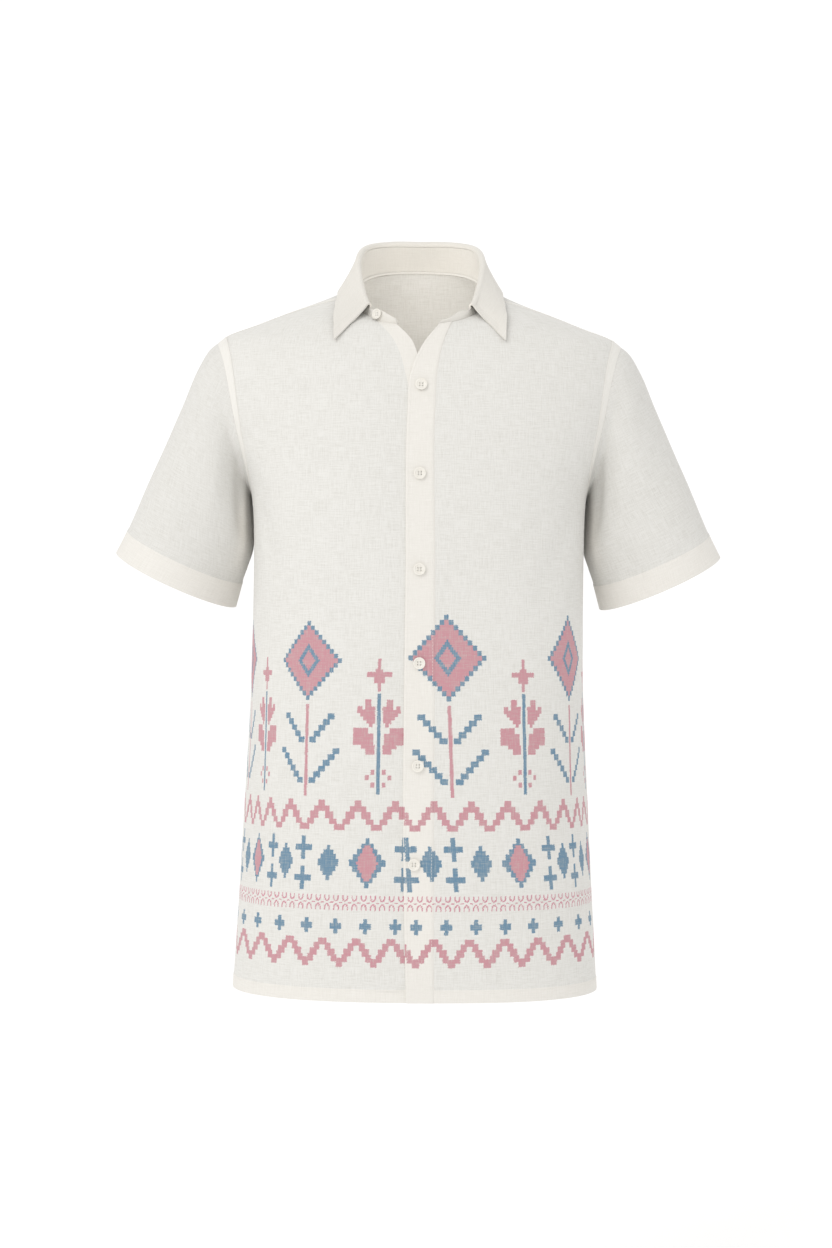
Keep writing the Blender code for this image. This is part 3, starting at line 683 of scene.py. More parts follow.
def linen_weave():
    """Plain weave with uneven yarns: slubs both ways, threads, and slow cloudiness."""
    group, given, finish = new_group(
        "linen weave", ("Across", "Up", "Yarn", "Slub Length"), ("Shade", "Height")
    )
    across = given["Across"]
    up = given["Up"]
    yarn = given["Yarn"]
    slub = given["Slub Length"]
    warp = noise(group, across, up, yarn, slub)
    weft = noise(group, across, up, slub, yarn)
    fine_warp = noise(group, across, up, yarn * 0.6, slub * 0.3)
    fine_weft = noise(group, across, up, slub * 0.3, yarn * 0.6)
    cloud = noise(group, across, up, 0.06, 0.06)
    crossing = (across / yarn * math.pi).use("SINE") * (up / yarn * math.pi).use("SINE")
    streaks = (warp + weft) * 2.0 + (fine_warp + fine_weft) * 1.3
    shade = streaks + cloud * 0.3
    height = streaks * 0.6 + crossing * 0.25 + 0.5
    group.links.new(shade.socket, finish.inputs["Shade"])
    group.links.new(height.socket, finish.inputs["Height"])
    return group


def bars(across, up, chart):
    """Every bar of a chart as one mask."""
    mask = None
    for near, far, low, high in chart:
        beside = across.within((near + far) / 2, (far - near) / 2)
        bar = beside * up.within((low + high) / 2, (high - low) / 2)
        mask = mask.or_else(bar) if mask else bar
    return mask


def leaves(across, up, first, first_up, last, slope, steps):
    """A rising row of small blocks either side of a stem."""
    step = ((up - first_up) / 5.9).whole()
    reach = (across - step * slope - first).size()
    return reach.below(3.95) * step.within(last / 2, last / 2 + 0.1) * steps


def folk_print():
    """The border print: masks for pink, deep pink and blue, from places in millimetres."""
    labels = ("Spread Across", "Across", "Up") + tuple(
        label.replace("_", " ").title() for label in PHASE_COLUMNS
    )
    group, given, finish = new_group("folk print", labels, ("Pink", "Deep Pink", "Blue"))
    spread = given["Spread Across"]
    across = given["Across"]
    up = given["Up"]

    lean = given["Lean"]
    leaning = spread - lean * (up * -1.0 + 344.0)
    size = given["Diamond Size"]
    beside = leaning.repeat(given["Diamond"], MOTIF_STEP).size() / size
    level = (up - given["Diamond Middle"]).size() / size
    cells = (beside / 4.65).whole() + (level / 5.1).whole()
    outline = cells.within(8.0, 0.1)
    ring = ((beside / 1.85).whole() / 2.0 + (level / 2.45).whole() / 2.0).within(3.0, 0.6)
    fill = cells.below(7.5)
    blue = outline.or_else(ring)
    pink = (fill - ring).use("MAXIMUM", 0.0).or_else(bars(beside, up, DIAMOND_STEM))
    above = up.within(261.2 + 11.8, 5.9 * 2.5)
    beneath = up.within(220.4 + 14.75, 5.9 * 3.0)
    blue = blue.or_else(leaves(beside, up, 7.1, 261.2, 4.0, 5.36, above))
    blue = blue.or_else(leaves(beside, up, 7.7, 220.4, 5.0, 5.4, beneath))

    leaning = spread - lean * 0.5 * (up * -1.0 + 344.0)
    beside = leaning.repeat(given["Flower"], MOTIF_STEP).size()
    pink = pink.or_else(bars(beside, up, FLOWER_PINK))
    blue = blue.or_else(bars(beside, up, FLOWER_BLUE))

    beside = spread.repeat(given["Zigzag"], ZIGZAG_STEP).size()
    pink = pink.or_else(bars(beside, up, ZIGZAG))

    leaning = spread - lean * (up * -2.0 + 277.2)
    level = (up - 138.7).size()
    beside = leaning.repeat(given["Lozenge"], MOTIF_STEP).size()
    cells = (beside / 4.1).whole() + ((level - 0.8) / 5.35).whole().use("MAXIMUM", 0.0)
    wide = ((beside / 2.05).whole() * 2.05 / 10.9).use("POWER", 1.2)
    tall = ((level / 2.75).whole() * 2.75 / 18.8).use("POWER", 1.2)
    heart = (wide + tall).below(1.0)
    pink = pink.or_else(heart)
    blue = blue.or_else((cells.below(4.5) - heart).use("MAXIMUM", 0.0))
    for shift in (37.0, -66.8):
        beside = (leaning - shift).repeat(given["Lozenge"], MOTIF_STEP).size()
        blue = blue.or_else(bars(beside, up, TALL_CROSSES))
    for shift in (59.8, -39.6):
        beside = (leaning - shift).repeat(given["Lozenge"], MOTIF_STEP).size()
        blue = blue.or_else(bars(beside, level, SMALL_LOZENGE))

    deep = bars(across.repeat(4.0, 9.3).size(), up, CHAIN)
    dash = across.repeat(8.65, 9.3).size().below(1.7) * up.within(98.9, 0.55)
    deep = deep.or_else(dash)

    beside = across.repeat(given["Cross"], given["Cross Step"]).size()
    blue = blue.or_else(bars(beside, up, SMALL_CROSS))
    beside = across.repeat(given["Hem Zigzag"], given["Hem Step"]).size()
    pink = pink.or_else(bars(beside, up, HEM_ZIGZAG))

    group.links.new(pink.socket, finish.inputs["Pink"])
    group.links.new(deep.socket, finish.inputs["Deep Pink"])
    group.links.new(blue.socket, finish.inputs["Blue"])
    return group


def attribute(tree, name, output="Fac"):
    node = tree.nodes.new("ShaderNodeAttribute")
    node.attribute_name = name
    return node.outputs[output]


def mix_colour(tree, factor, first, second, blend="MIX"):
    """Mix two colours by a number, each either a colour or another node's socket."""
    node = tree.nodes.new("ShaderNodeMix")
    node.data_type = "RGBA"
    node.blend_type = blend
    tree.links.new(factor.socket, node.inputs["Factor"])
    for label, colour in (("A", first), ("B", second)):
        socket = next(s for s in node.inputs if s.name == label and s.type == "RGBA")
        if isinstance(colour, tuple):
            socket.default_value = colour
        else:
            tree.links.new(colour, socket)
    return next(s for s in node.outputs if s.type == "RGBA")


def new_material(name):
    """A new material with its nodes and its shader."""
    material = bpy.data.materials.new(name)
    material.use_nodes = True
    return material, material.node_tree, material.node_tree.nodes["Principled BSDF"]


def raise_surface(tree, shader, height, strength, distance):
    """Feed a height to the shader as fine relief."""
    bump = tree.nodes.new("ShaderNodeBump")
    bump.inputs["Strength"].default_value = strength
    bump.inputs["Distance"].default_value = distance
    tree.links.new(height.socket, bump.inputs["Height"])
    tree.links.new(bump.outputs["Normal"], shader.inputs["Normal"])


def place_group(tree, group, values):
    """Put a node group in a material, with its numbers set or linked."""
    node = tree.nodes.new("ShaderNodeGroup")
    node.node_tree = group
    for label, value in values.items():
        if isinstance(value, Number):
            tree.links.new(value.socket, node.inputs[label])
        else:
            node.inputs[label].default_value = value
    return {socket.name: Number(tree, socket) for socket in node.outputs}


def linen(name, colour, weave, band, phases=None):
    """Linen cloth: woven shade, a smoother turned band at the bottom, and the print."""
    yarn, streak = weave
    material, tree, shader = new_material(name)
    cloth_map = tree.nodes.new("ShaderNodeUVMap")
    cloth_map.uv_map = "cloth"
    split = tree.nodes.new("ShaderNodeSeparateXYZ")
    tree.links.new(cloth_map.outputs["UV"], split.inputs["Vector"])
    across = Number(tree, split.outputs["X"])
    up = Number(tree, split.outputs["Y"])
    woven = place_group(
        tree, WEAVE, {"Across": across, "Up": up, "Yarn": yarn, "Slub Length": SLUB_LENGTH}
    )
    turned = up.below(band)
    base = mix_colour(tree, turned, colour, WARM_LINEN)
    shade = woven["Shade"] * (turned * -0.5 + 1.0)
    if phases:
        places = tree.nodes.new("ShaderNodeSeparateXYZ")
        tree.links.new(attribute(tree, "print_place", "Vector"), places.inputs["Vector"])
        ragged = woven["Shade"] * 0.7
        values = {
            "Spread Across": Number(tree, places.outputs["X"]) + ragged,
            "Across": Number(tree, places.outputs["Y"]) + ragged,
            "Up": Number(tree, places.outputs["Z"]) + ragged,
        }
        for label, value in zip(PHASE_COLUMNS, phases):
            values[label.replace("_", " ").title()] = value
        masks = place_group(tree, PRINT, values)
        inside = Number(tree, attribute(tree, "inside"))
        strength = (inside * -0.72 + 0.93) - woven["Shade"] * 0.30
        for label, ink in (("Pink", PINK), ("Deep Pink", DEEP_PINK), ("Blue", BLUE)):
            base = mix_colour(tree, masks[label] * strength, base, ink)
    darker = (shade * streak).use("MAXIMUM", -0.12).use("MINIMUM", 0.3) + 0.12
    base = mix_colour(tree, darker, base, GRAIN, "MULTIPLY")
    tree.links.new(base, shader.inputs["Base Color"])
    roughness = shade * 0.10 + 0.84
    tree.links.new(roughness.socket, shader.inputs["Roughness"])
    raise_surface(tree, shader, woven["Height"], 0.35, 0.00012)
    shader.inputs["Sheen Weight"].default_value = 0.10
    shader.inputs["Sheen Roughness"].default_value = 0.6
    shader.inputs["Specular IOR Level"].default_value = 0.25
    return material


def object_noise(tree, scale, detail):
    """Noise on a piece's own place."""
    place = tree.nodes.new("ShaderNodeTexCoord")
    texture = tree.nodes.new("ShaderNodeTexNoise")
    texture.inputs["Scale"].default_value = scale
    texture.inputs["Detail"].default_value = detail
    tree.links.new(place.outputs["Object"], texture.inputs["Vector"])
    return Number(tree, texture.outputs["Fac"])


def simple_finish(name, colour, other, scale, roughness, bump_distance):
    """A small piece's finish, its colour and gloss a little uneven."""
    material, tree, shader = new_material(name)
    uneven = object_noise(tree, scale, 3.0)
    tree.links.new(mix_colour(tree, uneven, colour, other), shader.inputs["Base Color"])
    tree.links.new((uneven * 0.16 + (roughness - 0.08)).socket, shader.inputs["Roughness"])
    raise_surface(tree, shader, uneven, 0.3, bump_distance)
    return material


def spread_shares(count, edges=EDGE_SHARES):
    """Places across a panel, closer together beside its edges."""
    shares = list(np.linspace(0, 1, count)) + list(edges) + [1 - edge for edge in edges]
    return np.array(sorted(shares))


def panel_grid(rows, first_edge, last_edge, spread):
    """Angles and rings of a panel's points, its rows drawn to the armhole's steps beside it."""
    even = panel_rings()[rows]
    stepped = panel_rings(at_armhole=True)[rows]
    first, first_beside = first_edge
    last, last_beside = last_edge
    beside = (
        first_beside * (1 - ease(spread / ARMHOLE_FADE))
        + last_beside * (1 - ease((1 - spread) / ARMHOLE_FADE))
    )
    ring = even[:, None] + (stepped - even)[:, None] * beside
    start = first(stepped if first_beside else even)
    end = last(stepped if last_beside else even)
    return start[:, None] + (end - start)[:, None] * spread, ring


def girth_table():
    """Angles round the torso and how far round it each lies, in millimetres."""
    angle = np.linspace(0, 2 * math.pi, 2881)
    ring = np.full(angle.shape, ring_at(REFERENCE_Z))
    steps = np.linalg.norm(np.diff(torso(angle, ring), axis=0), axis=-1)
    return angle, np.concatenate(([0], np.cumsum(steps))) * 1000


def print_places(angle, points, behind, spreading):
    """Where each point lies on the print's chart, in millimetres."""
    angles, girth = girth_table()
    if behind:
        across = np.interp(angle, angles, girth) - np.interp(math.pi, angles, girth)
    else:
        across = np.sign(angle) * np.interp(np.abs(angle), angles, girth)
    beyond = np.maximum(np.abs(across) - SPREAD_START, 0)
    limit = SPREAD_LIMIT / (2 * spreading) if spreading else 0
    curved = np.minimum(beyond, limit)
    extra = spreading * curved ** 2 + SPREAD_LIMIT * np.maximum(beyond - limit, 0) * bool(spreading)
    spread = np.sign(across) * (np.abs(across) + extra)
    up = (points[..., 2] - HEM_Z) * 1000
    return np.stack((spread, across, up), axis=-1).reshape(-1, 3)


def torso_panel(
    name, node, slot, material, edges, spread, lift, thickness, sewn=(),
    rows=slice(None), straight=0, behind=False, spreading=0.0,
):
    """A wall over the region of the torso between two edges, in place of its solid.

    The cloth's map is measured from the column at straight, where the yarns hang plumb.
    """
    angle, ring = panel_grid(rows, *edges, spread)
    plain = torso(angle, ring)
    width = lengths(plain, 1)
    raised = lift(width, width[:, -1:] - width)
    height = plain[..., 2] - HEM_Z
    raised = raised + HEM_RAISE * (1 - ease((height - HEM_HEIGHT + 0.0004) / 0.0008))
    outer = cloth_point(angle, ring, raised)
    inner = outer - torso_normal(angle, ring) * (thickness + raised * 0.5)[..., None]
    printed = print_places(angle, plain, behind, spreading)
    level = lengths(plain[..., :2], 1)
    across = level - level[:, straight, None] + plain[:, straight, None, 0]
    plumb = lengths(plain[:, straight, None], 0)[:, 0] + height[0, straight]
    up = np.interp(height, height[:, straight], plumb) + np.maximum(height - height[-1, straight], 0)
    piece = wall(name, outer, inner, material, across, up, printed)
    dress(piece, slot, node)
    cloth_sheet(outer, sewn)


def seam_dips(first=False, last=False):
    """A lift that sinks a little into the seams at a panel's sides."""
    def lift(from_first, from_last):
        dip = np.zeros(from_first.shape)
        if first:
            dip -= SEAM_DIP * np.exp(-(from_first / SEAM_SOFTNESS) ** 2)
        if last:
            dip -= SEAM_DIP * np.exp(-(from_last / SEAM_SOFTNESS) ** 2)
        return dip
    return lift


def right_front_lift(from_first, from_last):
    """The right front dips into its side seam and sinks behind the left one."""
    share = from_last / (from_first + from_last)
    return seam_dips(first=True)(from_first, from_last) - BAND_DIP * ease(1 - share / DIP_SHARE)


def placket_lift(from_first, from_last):
    """The placket stands on the front, with soft edges."""
    width = from_first + from_last
    first = ease(from_first / (width * STRIP_ROUNDING))
    last = ease(from_last / (width * STRIP_ROUNDING))
    return PLACKET_LIFT * (0.55 + 0.45 * first) * last


def band_lift(from_first, from_last):
    """The button band lies behind the placket."""
    return np.full_like(from_first + from_last, -BAND_DIP)


def strip(rows, column):
    """The edge of a front strip as a panel's edge, away from the armhole."""
    return lambda ring: front_angle(strip_x(rows, column, ring), ring), False


def side_seam(side, mirror=False):
    """A side seam as a panel's edge, with the armhole above it."""
    if mirror:
        whole_turn = math.pi * (1 + side)
        return lambda ring: whole_turn - side_angle(ring, side), True
    return lambda ring: side_angle(ring, side), True


def armhole(turn):
    """Where the armhole lies on the torso: turn 0 is its bottom, pi/2 its front."""
    ring = ARMPIT_RING + (SHOULDER_RING - ARMPIT_RING) * (1 - np.cos(turn)) / 2
    return math.pi / 2 - ARMHOLE_REACH * np.sin(turn), ring


def sleeve_oval(turn, along):
    """The plain oval at a place along the sleeve, its inner side drawn back under the arm."""
    row = np.moveaxis(by_key(SLEEVE, along), -1, 0)
    _, outer_x, outer_z, inner_x, inner_z, half_depth, drop = row
    share = (1 - np.cos(turn)) / 2
    forward = np.sin(turn)
    x = inner_x + (outer_x - inner_x) * share
    z = inner_z + (outer_z - inner_z) * share - drop * forward
    lean = INNER_LEAN * ease(along / LEAN_FADE) * (1 - share) ** 2
    return np.stack((x, lean - half_depth * forward, z), axis=-1)


def armhole_point(turn, side):
    """A point of the armhole's edge on the wearer's left (1) or right (-1) side of the torso."""
    angle, ring = armhole(turn)
    return cloth_point(angle * side, ring)


def sleeve_point(turn, along, side):
    """A point of a sleeve's outer face, drawn on the left side of the shirt."""
    turn, along = np.broadcast_arrays(np.asarray(turn, float), np.asarray(along, float))
    seam = armhole_point(turn, side) * (side, 1, 1)
    keep = (1 - ease(along / CAP_FADE))[..., None]
    return sleeve_oval(turn, along) + keep * (seam - sleeve_oval(turn, np.zeros(along.shape)))


def sleeve_normal(turn, along, side):
    """The outward direction of a sleeve's surface, drawn on the left side."""
    return -facing_out(lambda turned, down: sleeve_point(turned, down, side), turn, along, 1)


def sleeve_places():
    """Places along a sleeve: close together by the armhole and the cuff band."""
    even = list(np.linspace(0, 1, SLEEVE_ROWS))
    near = [0.004, 0.010, 0.026]
    cuff = [SLEEVE_HEM - 0.005, SLEEVE_HEM - 0.001, SLEEVE_HEM + 0.003, 0.985, 0.994, 0.998]
    return np.array(sorted(even + near + cuff))


def build_sleeve(name, side, material):
    """A sleeve's wall, with its outer grid running from the cuff up to the armhole."""
    turn = np.arange(2 * ARMHOLE_STEPS) * math.pi / ARMHOLE_STEPS
    turns, places = np.meshgrid(turn, sleeve_places())
    folds = fold_relief(SLEEVE_FOLDS, np.degrees(turns), places, (DEGREE_OF_SLEEVE, SLEEVE_LENGTH))
    folds = folds * ease(places / 0.06) + 0.0006 * np.sin(3 * turns + 9 * places) * ease(places / 0.2)
    band = ease((places - SLEEVE_HEM + 0.003) / 0.005)
    normal = sleeve_normal(turns, places, side)
    lift = folds + CUFF_RAISE * band - SEAM_DIP * np.exp(-(places / 0.008) ** 2)
    outer = sleeve_point(turns, places, side) + normal * lift[..., None]
    outer[0] = armhole_point(turn, side) * (side, 1, 1)
    angle, ring = armhole(turn)
    body_side = torso_normal(angle, ring)
    tangent = np.roll(outer[0], -1, axis=0) - np.roll(outer[0], 1, axis=0)
    away = unit(np.cross(tangent, body_side))
    folded = np.clip(-np.sum(normal[1] * away, axis=-1, keepdims=True) / FOLD_SHARPNESS, 0, 1)
    normal[0] = unit(body_side + folded * normal[1])
    outer[0] -= normal[0] * 0.0002
    inner = outer - normal * (CLOTH + CUFF_RAISE * 1.5 * band)[..., None]
    outer = outer[::-1] * (side, 1, 1)
    inner = inner[::-1] * (side, 1, 1)
    if side < 0:
        outer = outer[:, ::-1]
        inner = inner[:, ::-1]
    across = lengths(outer, 1, wrapped=True)
    up = lengths(outer, 0, wrapped=True)
    piece = wall(name, outer, inner, material, across, up, wrapped=True)
    return piece, outer


def crest_of(degrees, left_half):
    """The highest line of the collar, and past the fall the stand's own top."""
    crest = [row[:4] for row in COLLAR]
    end = STAND_END_LEFT if left_half else STAND_END_RIGHT
    return by_key(end + tuple(crest), degrees)[..., 1:]


def collar_frames(degrees, left_half):
    """Seam, crest, and the upward and outward directions, round half of the collar."""
    seam = cloth_point(np.radians(degrees), np.full(degrees.shape, float(NECK_RING)))
    crest = crest_of(degrees, left_half)
    step = 0.5
    along = unit(crest_of(degrees + step, left_half) - crest_of(degrees - step, left_half))
    up = crest - seam
    up = unit(up - np.sum(up * along, axis=-1, keepdims=True) * along)
    return seam, crest, up, unit(np.cross(along, up))


def whole_collar(half, left_degrees, right_degrees):
    """Join a grid of the left half to a mirrored one of the right half."""
    left = half(left_degrees, True)
    right = half(right_degrees, False) * (-1, 1, 1)
    return np.concatenate((left, right[:, -2::-1]), axis=1)


def stand_half(degrees, left_half):
    seam, crest, up, out = collar_frames(degrees, left_half)
    under = ease((degrees - COLLAR[0][0] + 9) / 7)[:, None]
    drop = ROLL_RADIUS + FALL_THICKNESS / 2 + ROLL_LEG + STAND_GAP
    top = crest - under * up * drop + out * TWO_LAYERS / 2
    share = np.linspace(0, 1, STAND_ROWS)[:, None, None]
    swell = np.sin(math.pi * share) * STAND_SWELL
    sunk = STAND_SUNK * (1 - ease(share * 6))
    if not left_half:
        sunk = sunk + BAND_DIP * (1 - ease((degrees - 34) / 9))[:, None] * (1 - share) ** 2
    inward = -torso_normal(np.radians(degrees), np.full(degrees.shape, float(NECK_RING)))
    return seam + (top - seam) * share + out * swell + inward * sunk


def grid_normal(points):
    """The direction that faces out of a grid whose columns run anticlockwise."""
    return unit(np.cross(np.gradient(points, axis=1), np.gradient(points, axis=0)))


def build_stand(material):
    shared = np.linspace(COLLAR[0][0], 180, COLLAR_COLUMN_COUNT)
    left, right = [
        np.concatenate((np.linspace(end[0][0], COLLAR[0][0], END_COLUMN_COUNT)[:-1], shared))
        for end in (STAND_END_LEFT, STAND_END_RIGHT)
    ]
    outer = whole_collar(stand_half, left, right)
    inner = outer - grid_normal(outer) * TWO_LAYERS
    across = lengths(outer, 1)
    return wall("stand_cloth", outer, inner, material, across, lengths(outer, 0)), outer


def fall_half(degrees, left_half):
    """The middle of the fall's cloth: over the roll, then down to its free edge."""
    _, crest, up, out = collar_frames(degrees, left_half)
    centre = crest - up * (ROLL_RADIUS + FALL_THICKNESS / 2) + out * ROLL_RADIUS
    roll = [centre + ROLL_RADIUS * (math.cos(turn) * out + math.sin(turn) * up)
            for turn in np.linspace(math.pi, 0, ROLL_ROWS)]
    roll.insert(0, roll[0] - up * ROLL_LEG)
    row = by_key(COLLAR, degrees)
    edge_angle = np.radians(row[:, COLLAR_COLUMNS.index("edge_angle")])
    edge_ring = row[:, COLLAR_COLUMNS.index("edge_ring")]
    off = row[:, COLLAR_COLUMNS.index("edge_off")]
    edge = torso(edge_angle, edge_ring) + torso_normal(edge_angle, edge_ring) * off[:, None]
    start = roll[-1]
    reach = edge - start
    swell = unit(np.cross(unit(reach), np.gradient(crest, axis=0))) * -FALL_SWELL
    leaf = [start + reach * share + swell * math.sin(math.pi * share ** 0.7)
            for share in np.linspace(0, 1, LEAF_ROWS)[1:]]
    return np.array(roll + leaf)


def clear_of_torso(points, gap):
    """Move points out along the torso's normal until they stand off it by a gap."""
    angles = np.linspace(0, 2 * math.pi, 361)[:-1]
    rings = np.linspace(SHOULDER_RING, NECK_RING, 60)
    angle, ring = [grid.ravel() for grid in np.meshgrid(angles, rings)]
    places = torso(angle, ring)
    normals = torso_normal(angle, ring)
    moved = points.reshape(-1, 3).copy()
    for index, point in enumerate(moved):
        nearest = np.argmin(np.sum((places - point) ** 2, axis=1))
        height = float((point - places[nearest]) @ normals[nearest])
        moved[index] += normals[nearest] * max(0.0, gap - height)
    return moved.reshape(points.shape)


def build_fall(material):
    degrees = np.linspace(COLLAR[0][0], 180, COLLAR_COLUMN_COUNT)
    middle = whole_collar(fall_half, degrees, degrees)
    half = FALL_THICKNESS / 2
    middle[ROLL_ROWS + 1:] = clear_of_torso(middle[ROLL_ROWS + 1:], half + FALL_CLEARANCE)
    normal = -grid_normal(middle)
    outer = (middle + normal * half)[:, ::-1]
    inner = (middle - normal * half)[:, ::-1]
    across = lengths(outer, 1)
    return wall("fall_cloth", outer, inner, material, across, lengths(outer, 0)), outer


def tape(name, edge, across, normal, width, wrapped=False):
    """A narrow strip of cloth sewn down beside an edge."""
    share = np.linspace(0, 1, TAPE_COLUMNS)
    rounded = 0.25 + 0.75 * np.sin(math.pi * np.clip(share, 0.08, 0.92)) ** 0.35
    place = edge[None] + across[None] * (share * width)[:, None, None]
    outer = place + normal[None] * (TAPE_LIFT * rounded)[:, None, None]
    inner = place - normal[None] * TAPE_SUNK
    forward = np.gradient(edge, axis=0)
    if np.sum(np.cross(forward, across) * normal) < 0:
        outer = outer[:, ::-1]
        inner = inner[:, ::-1]
    along = lengths(outer, 1, wrapped)
    up = lengths(outer, 0, wrapped) + 0.1
    piece = wall(name, outer, inner, TRIM, along, up, wrapped=wrapped)
    dress(piece, "linen_trim")
    return piece


def sewn_tape(name, stitches, edge, across, normal, width, at, inset=0, wrapped=False):
    """A tape with a row of stitches along it, at a distance from its first edge."""
    piece = tape(name, edge, across, normal, width, wrapped)
    line = edge + across * at + normal * TAPE_LIFT
    kept = slice(inset, len(line) - inset)
    return [piece, stitch_line(stitches, line[kept], normal[kept], closed=wrapped)]


def armhole_tape(name, side):
    """The felled seam of an armhole, which laps onto the sleeve over the shoulder."""
    turn = np.arange(2 * ARMHOLE_STEPS) * math.pi / ARMHOLE_STEPS
    angle, ring = armhole(turn)
    seam = armhole_point(turn, side)
    normal = torso_normal(angle * side, ring)
    tangent = np.roll(seam, -1, axis=0) - np.roll(seam, 1, axis=0)
    inward = unit(np.cross(normal, tangent)) * side
    high = (1 - np.cos(turn)) / 2
    edge = sleeve_point(turn, ARMHOLE_LAP * high, side) * (side, 1, 1)
    across = (seam + inward * ARMHOLE_TAPE - edge) / ARMHOLE_TAPE
    normal = normal + high[:, None] * sleeve_normal(turn, ARMHOLE_LAP * high, side) * (side, 1, 1)
    normal = unit(np.cross(np.cross(across, normal), across))
    return sewn_tape(
        f"armhole_seam_{name}", f"armhole_stitches_{name}", edge, across, normal,
        ARMHOLE_TAPE, ARMHOLE_TAPE * 0.85, wrapped=True,
    )


def shoulder_tape(name, side):
    """The yoke's front edge, lapped over the top of a shoulder."""
    ring = np.linspace(SHOULDER_RING + 0.02, 13.6, 60)
    angle = np.full(ring.shape, side * math.pi / 2)
    middle = cloth_point(angle, ring)
    normal = torso_normal(angle, ring)
    forward = unit(np.cross(normal, np.gradient(middle, axis=0))) * side
    front, back = SHOULDER_TAPE
    width = front + back
    return sewn_tape(
        f"shoulder_seam_{name}", f"shoulder_stitches_{name}", middle - forward * back, forward,
        normal, width, width - EDGE_STITCH,
    )


def select_faces(piece, chosen):
    """Select the faces of a piece, in edit mode, that a test picks out."""
    bpy.ops.object.mode_set(mode="EDIT")
    bpy.ops.mesh.select_mode(type="FACE")
    bpy.ops.mesh.select_all(action="DESELECT")
    bpy.ops.object.mode_set(mode="OBJECT")
    for face in piece.data.polygons:
        face.select = bool(chosen(face))
    bpy.ops.object.mode_set(mode="EDIT")


def thread_bar(sides, radius, length, place=(0, 0, 0)):
    """A plain round bar of thread that lies along X."""
    bpy.ops.object.select_all(action="DESELECT")
    bpy.ops.mesh.primitive_cylinder_add(
        vertices=sides, radius=radius, depth=length, location=place, rotation=(0, math.pi / 2, 0)
    )
    bpy.ops.object.transform_apply(location=True, rotation=True, scale=True)
    return bpy.context.active_object


def draw_out(bar, end, reach, drop):
    """Draw one end of a bar of thread out and down, and stay in edit mode."""
    select_faces(bar, lambda face: face.normal.x * end > 0.9)
    bpy.ops.mesh.extrude_region_move(TRANSFORM_OT_translate={"value": (end * reach, 0, -drop)})


def one_stitch():
    """A short thread with drawn-in ends, lying along X: its corners and faces."""
    stitch = thread_bar(5, STITCH_RADIUS, STITCH_LENGTH * 0.6)
    drop = STITCH_RADIUS * 0.8
    for end in (1, -1):
        draw_out(stitch, end, STITCH_LENGTH * 0.2, drop)
        bpy.ops.transform.resize(
            value=(1, 0.4, 0.4), center_override=(end * STITCH_LENGTH * 0.5, 0, -drop)
        )
        bpy.ops.object.mode_set(mode="OBJECT")
    corners = np.array([tuple(vertex.co) for vertex in stitch.data.vertices])
    faces = [list(face.vertices) for face in stitch.data.polygons]
    bpy.data.objects.remove(stitch)
    return corners, faces


def stitch_line(name, points, normals, closed=False):
    """A row of stitches along a line on the cloth."""
    if closed:
        points = np.concatenate((points, points[:1]))
        normals = np.concatenate((normals, normals[:1]))
    steps = np.linalg.norm(np.diff(points, axis=0), axis=-1)
    distance = np.concatenate(([0], np.cumsum(steps)))
    count = max(2, int(distance[-1] / STITCH_STEP))
    at = (np.arange(count) + 0.5) * distance[-1] / count

    def read(table, where):
        return np.stack([np.interp(where, distance, table[:, k]) for k in range(3)], axis=-1)

    centre = read(points, at)
    facing = unit(read(normals, at))
    along = read(points, np.minimum(at + 0.001, distance[-1])) - read(points, np.maximum(at - 0.001, 0))
    along = unit(along - np.sum(along * facing, axis=-1, keepdims=True) * facing)
    aside = np.cross(facing, along)
    corners, faces = STITCH
    placed = (
        centre[:, None]
        + along[:, None] * corners[None, :, 0:1]
        + aside[:, None] * corners[None, :, 1:2]
        + facing[:, None] * corners[None, :, 2:3]
    )
    repeated = [[k + number * len(corners) for k in face] for number in range(count) for face in faces]
    mesh = bpy.data.meshes.new(name)
    mesh.from_pydata(placed.reshape(-1, 3).tolist(), [], repeated)
    mesh.shade_smooth()
    mesh.materials.append(THREAD_FINISH)
    piece = bpy.data.objects.new(name, mesh)
    bpy.context.scene.collection.objects.link(piece)
    dress(piece, "linen_trim")
    return piece


def on_torso(angle, ring, lift=0.0):
    """A line of points on the torso with their normals."""
    angle, ring = np.broadcast_arrays(angle, ring)
    return cloth_point(angle, ring, lift), torso_normal(angle, ring)


def beside_edge(rows, column, offset, lift):
    """A line that follows a front strip's edge at a distance inside it."""
    ring = panel_rings()
    ring = ring[(ring >= ring_at(HEM_Z + 0.002)) & (ring <= NECK_RING - 0.15)]
    return on_torso(front_angle(strip_x(rows, column, ring) + offset, ring), ring, lift)


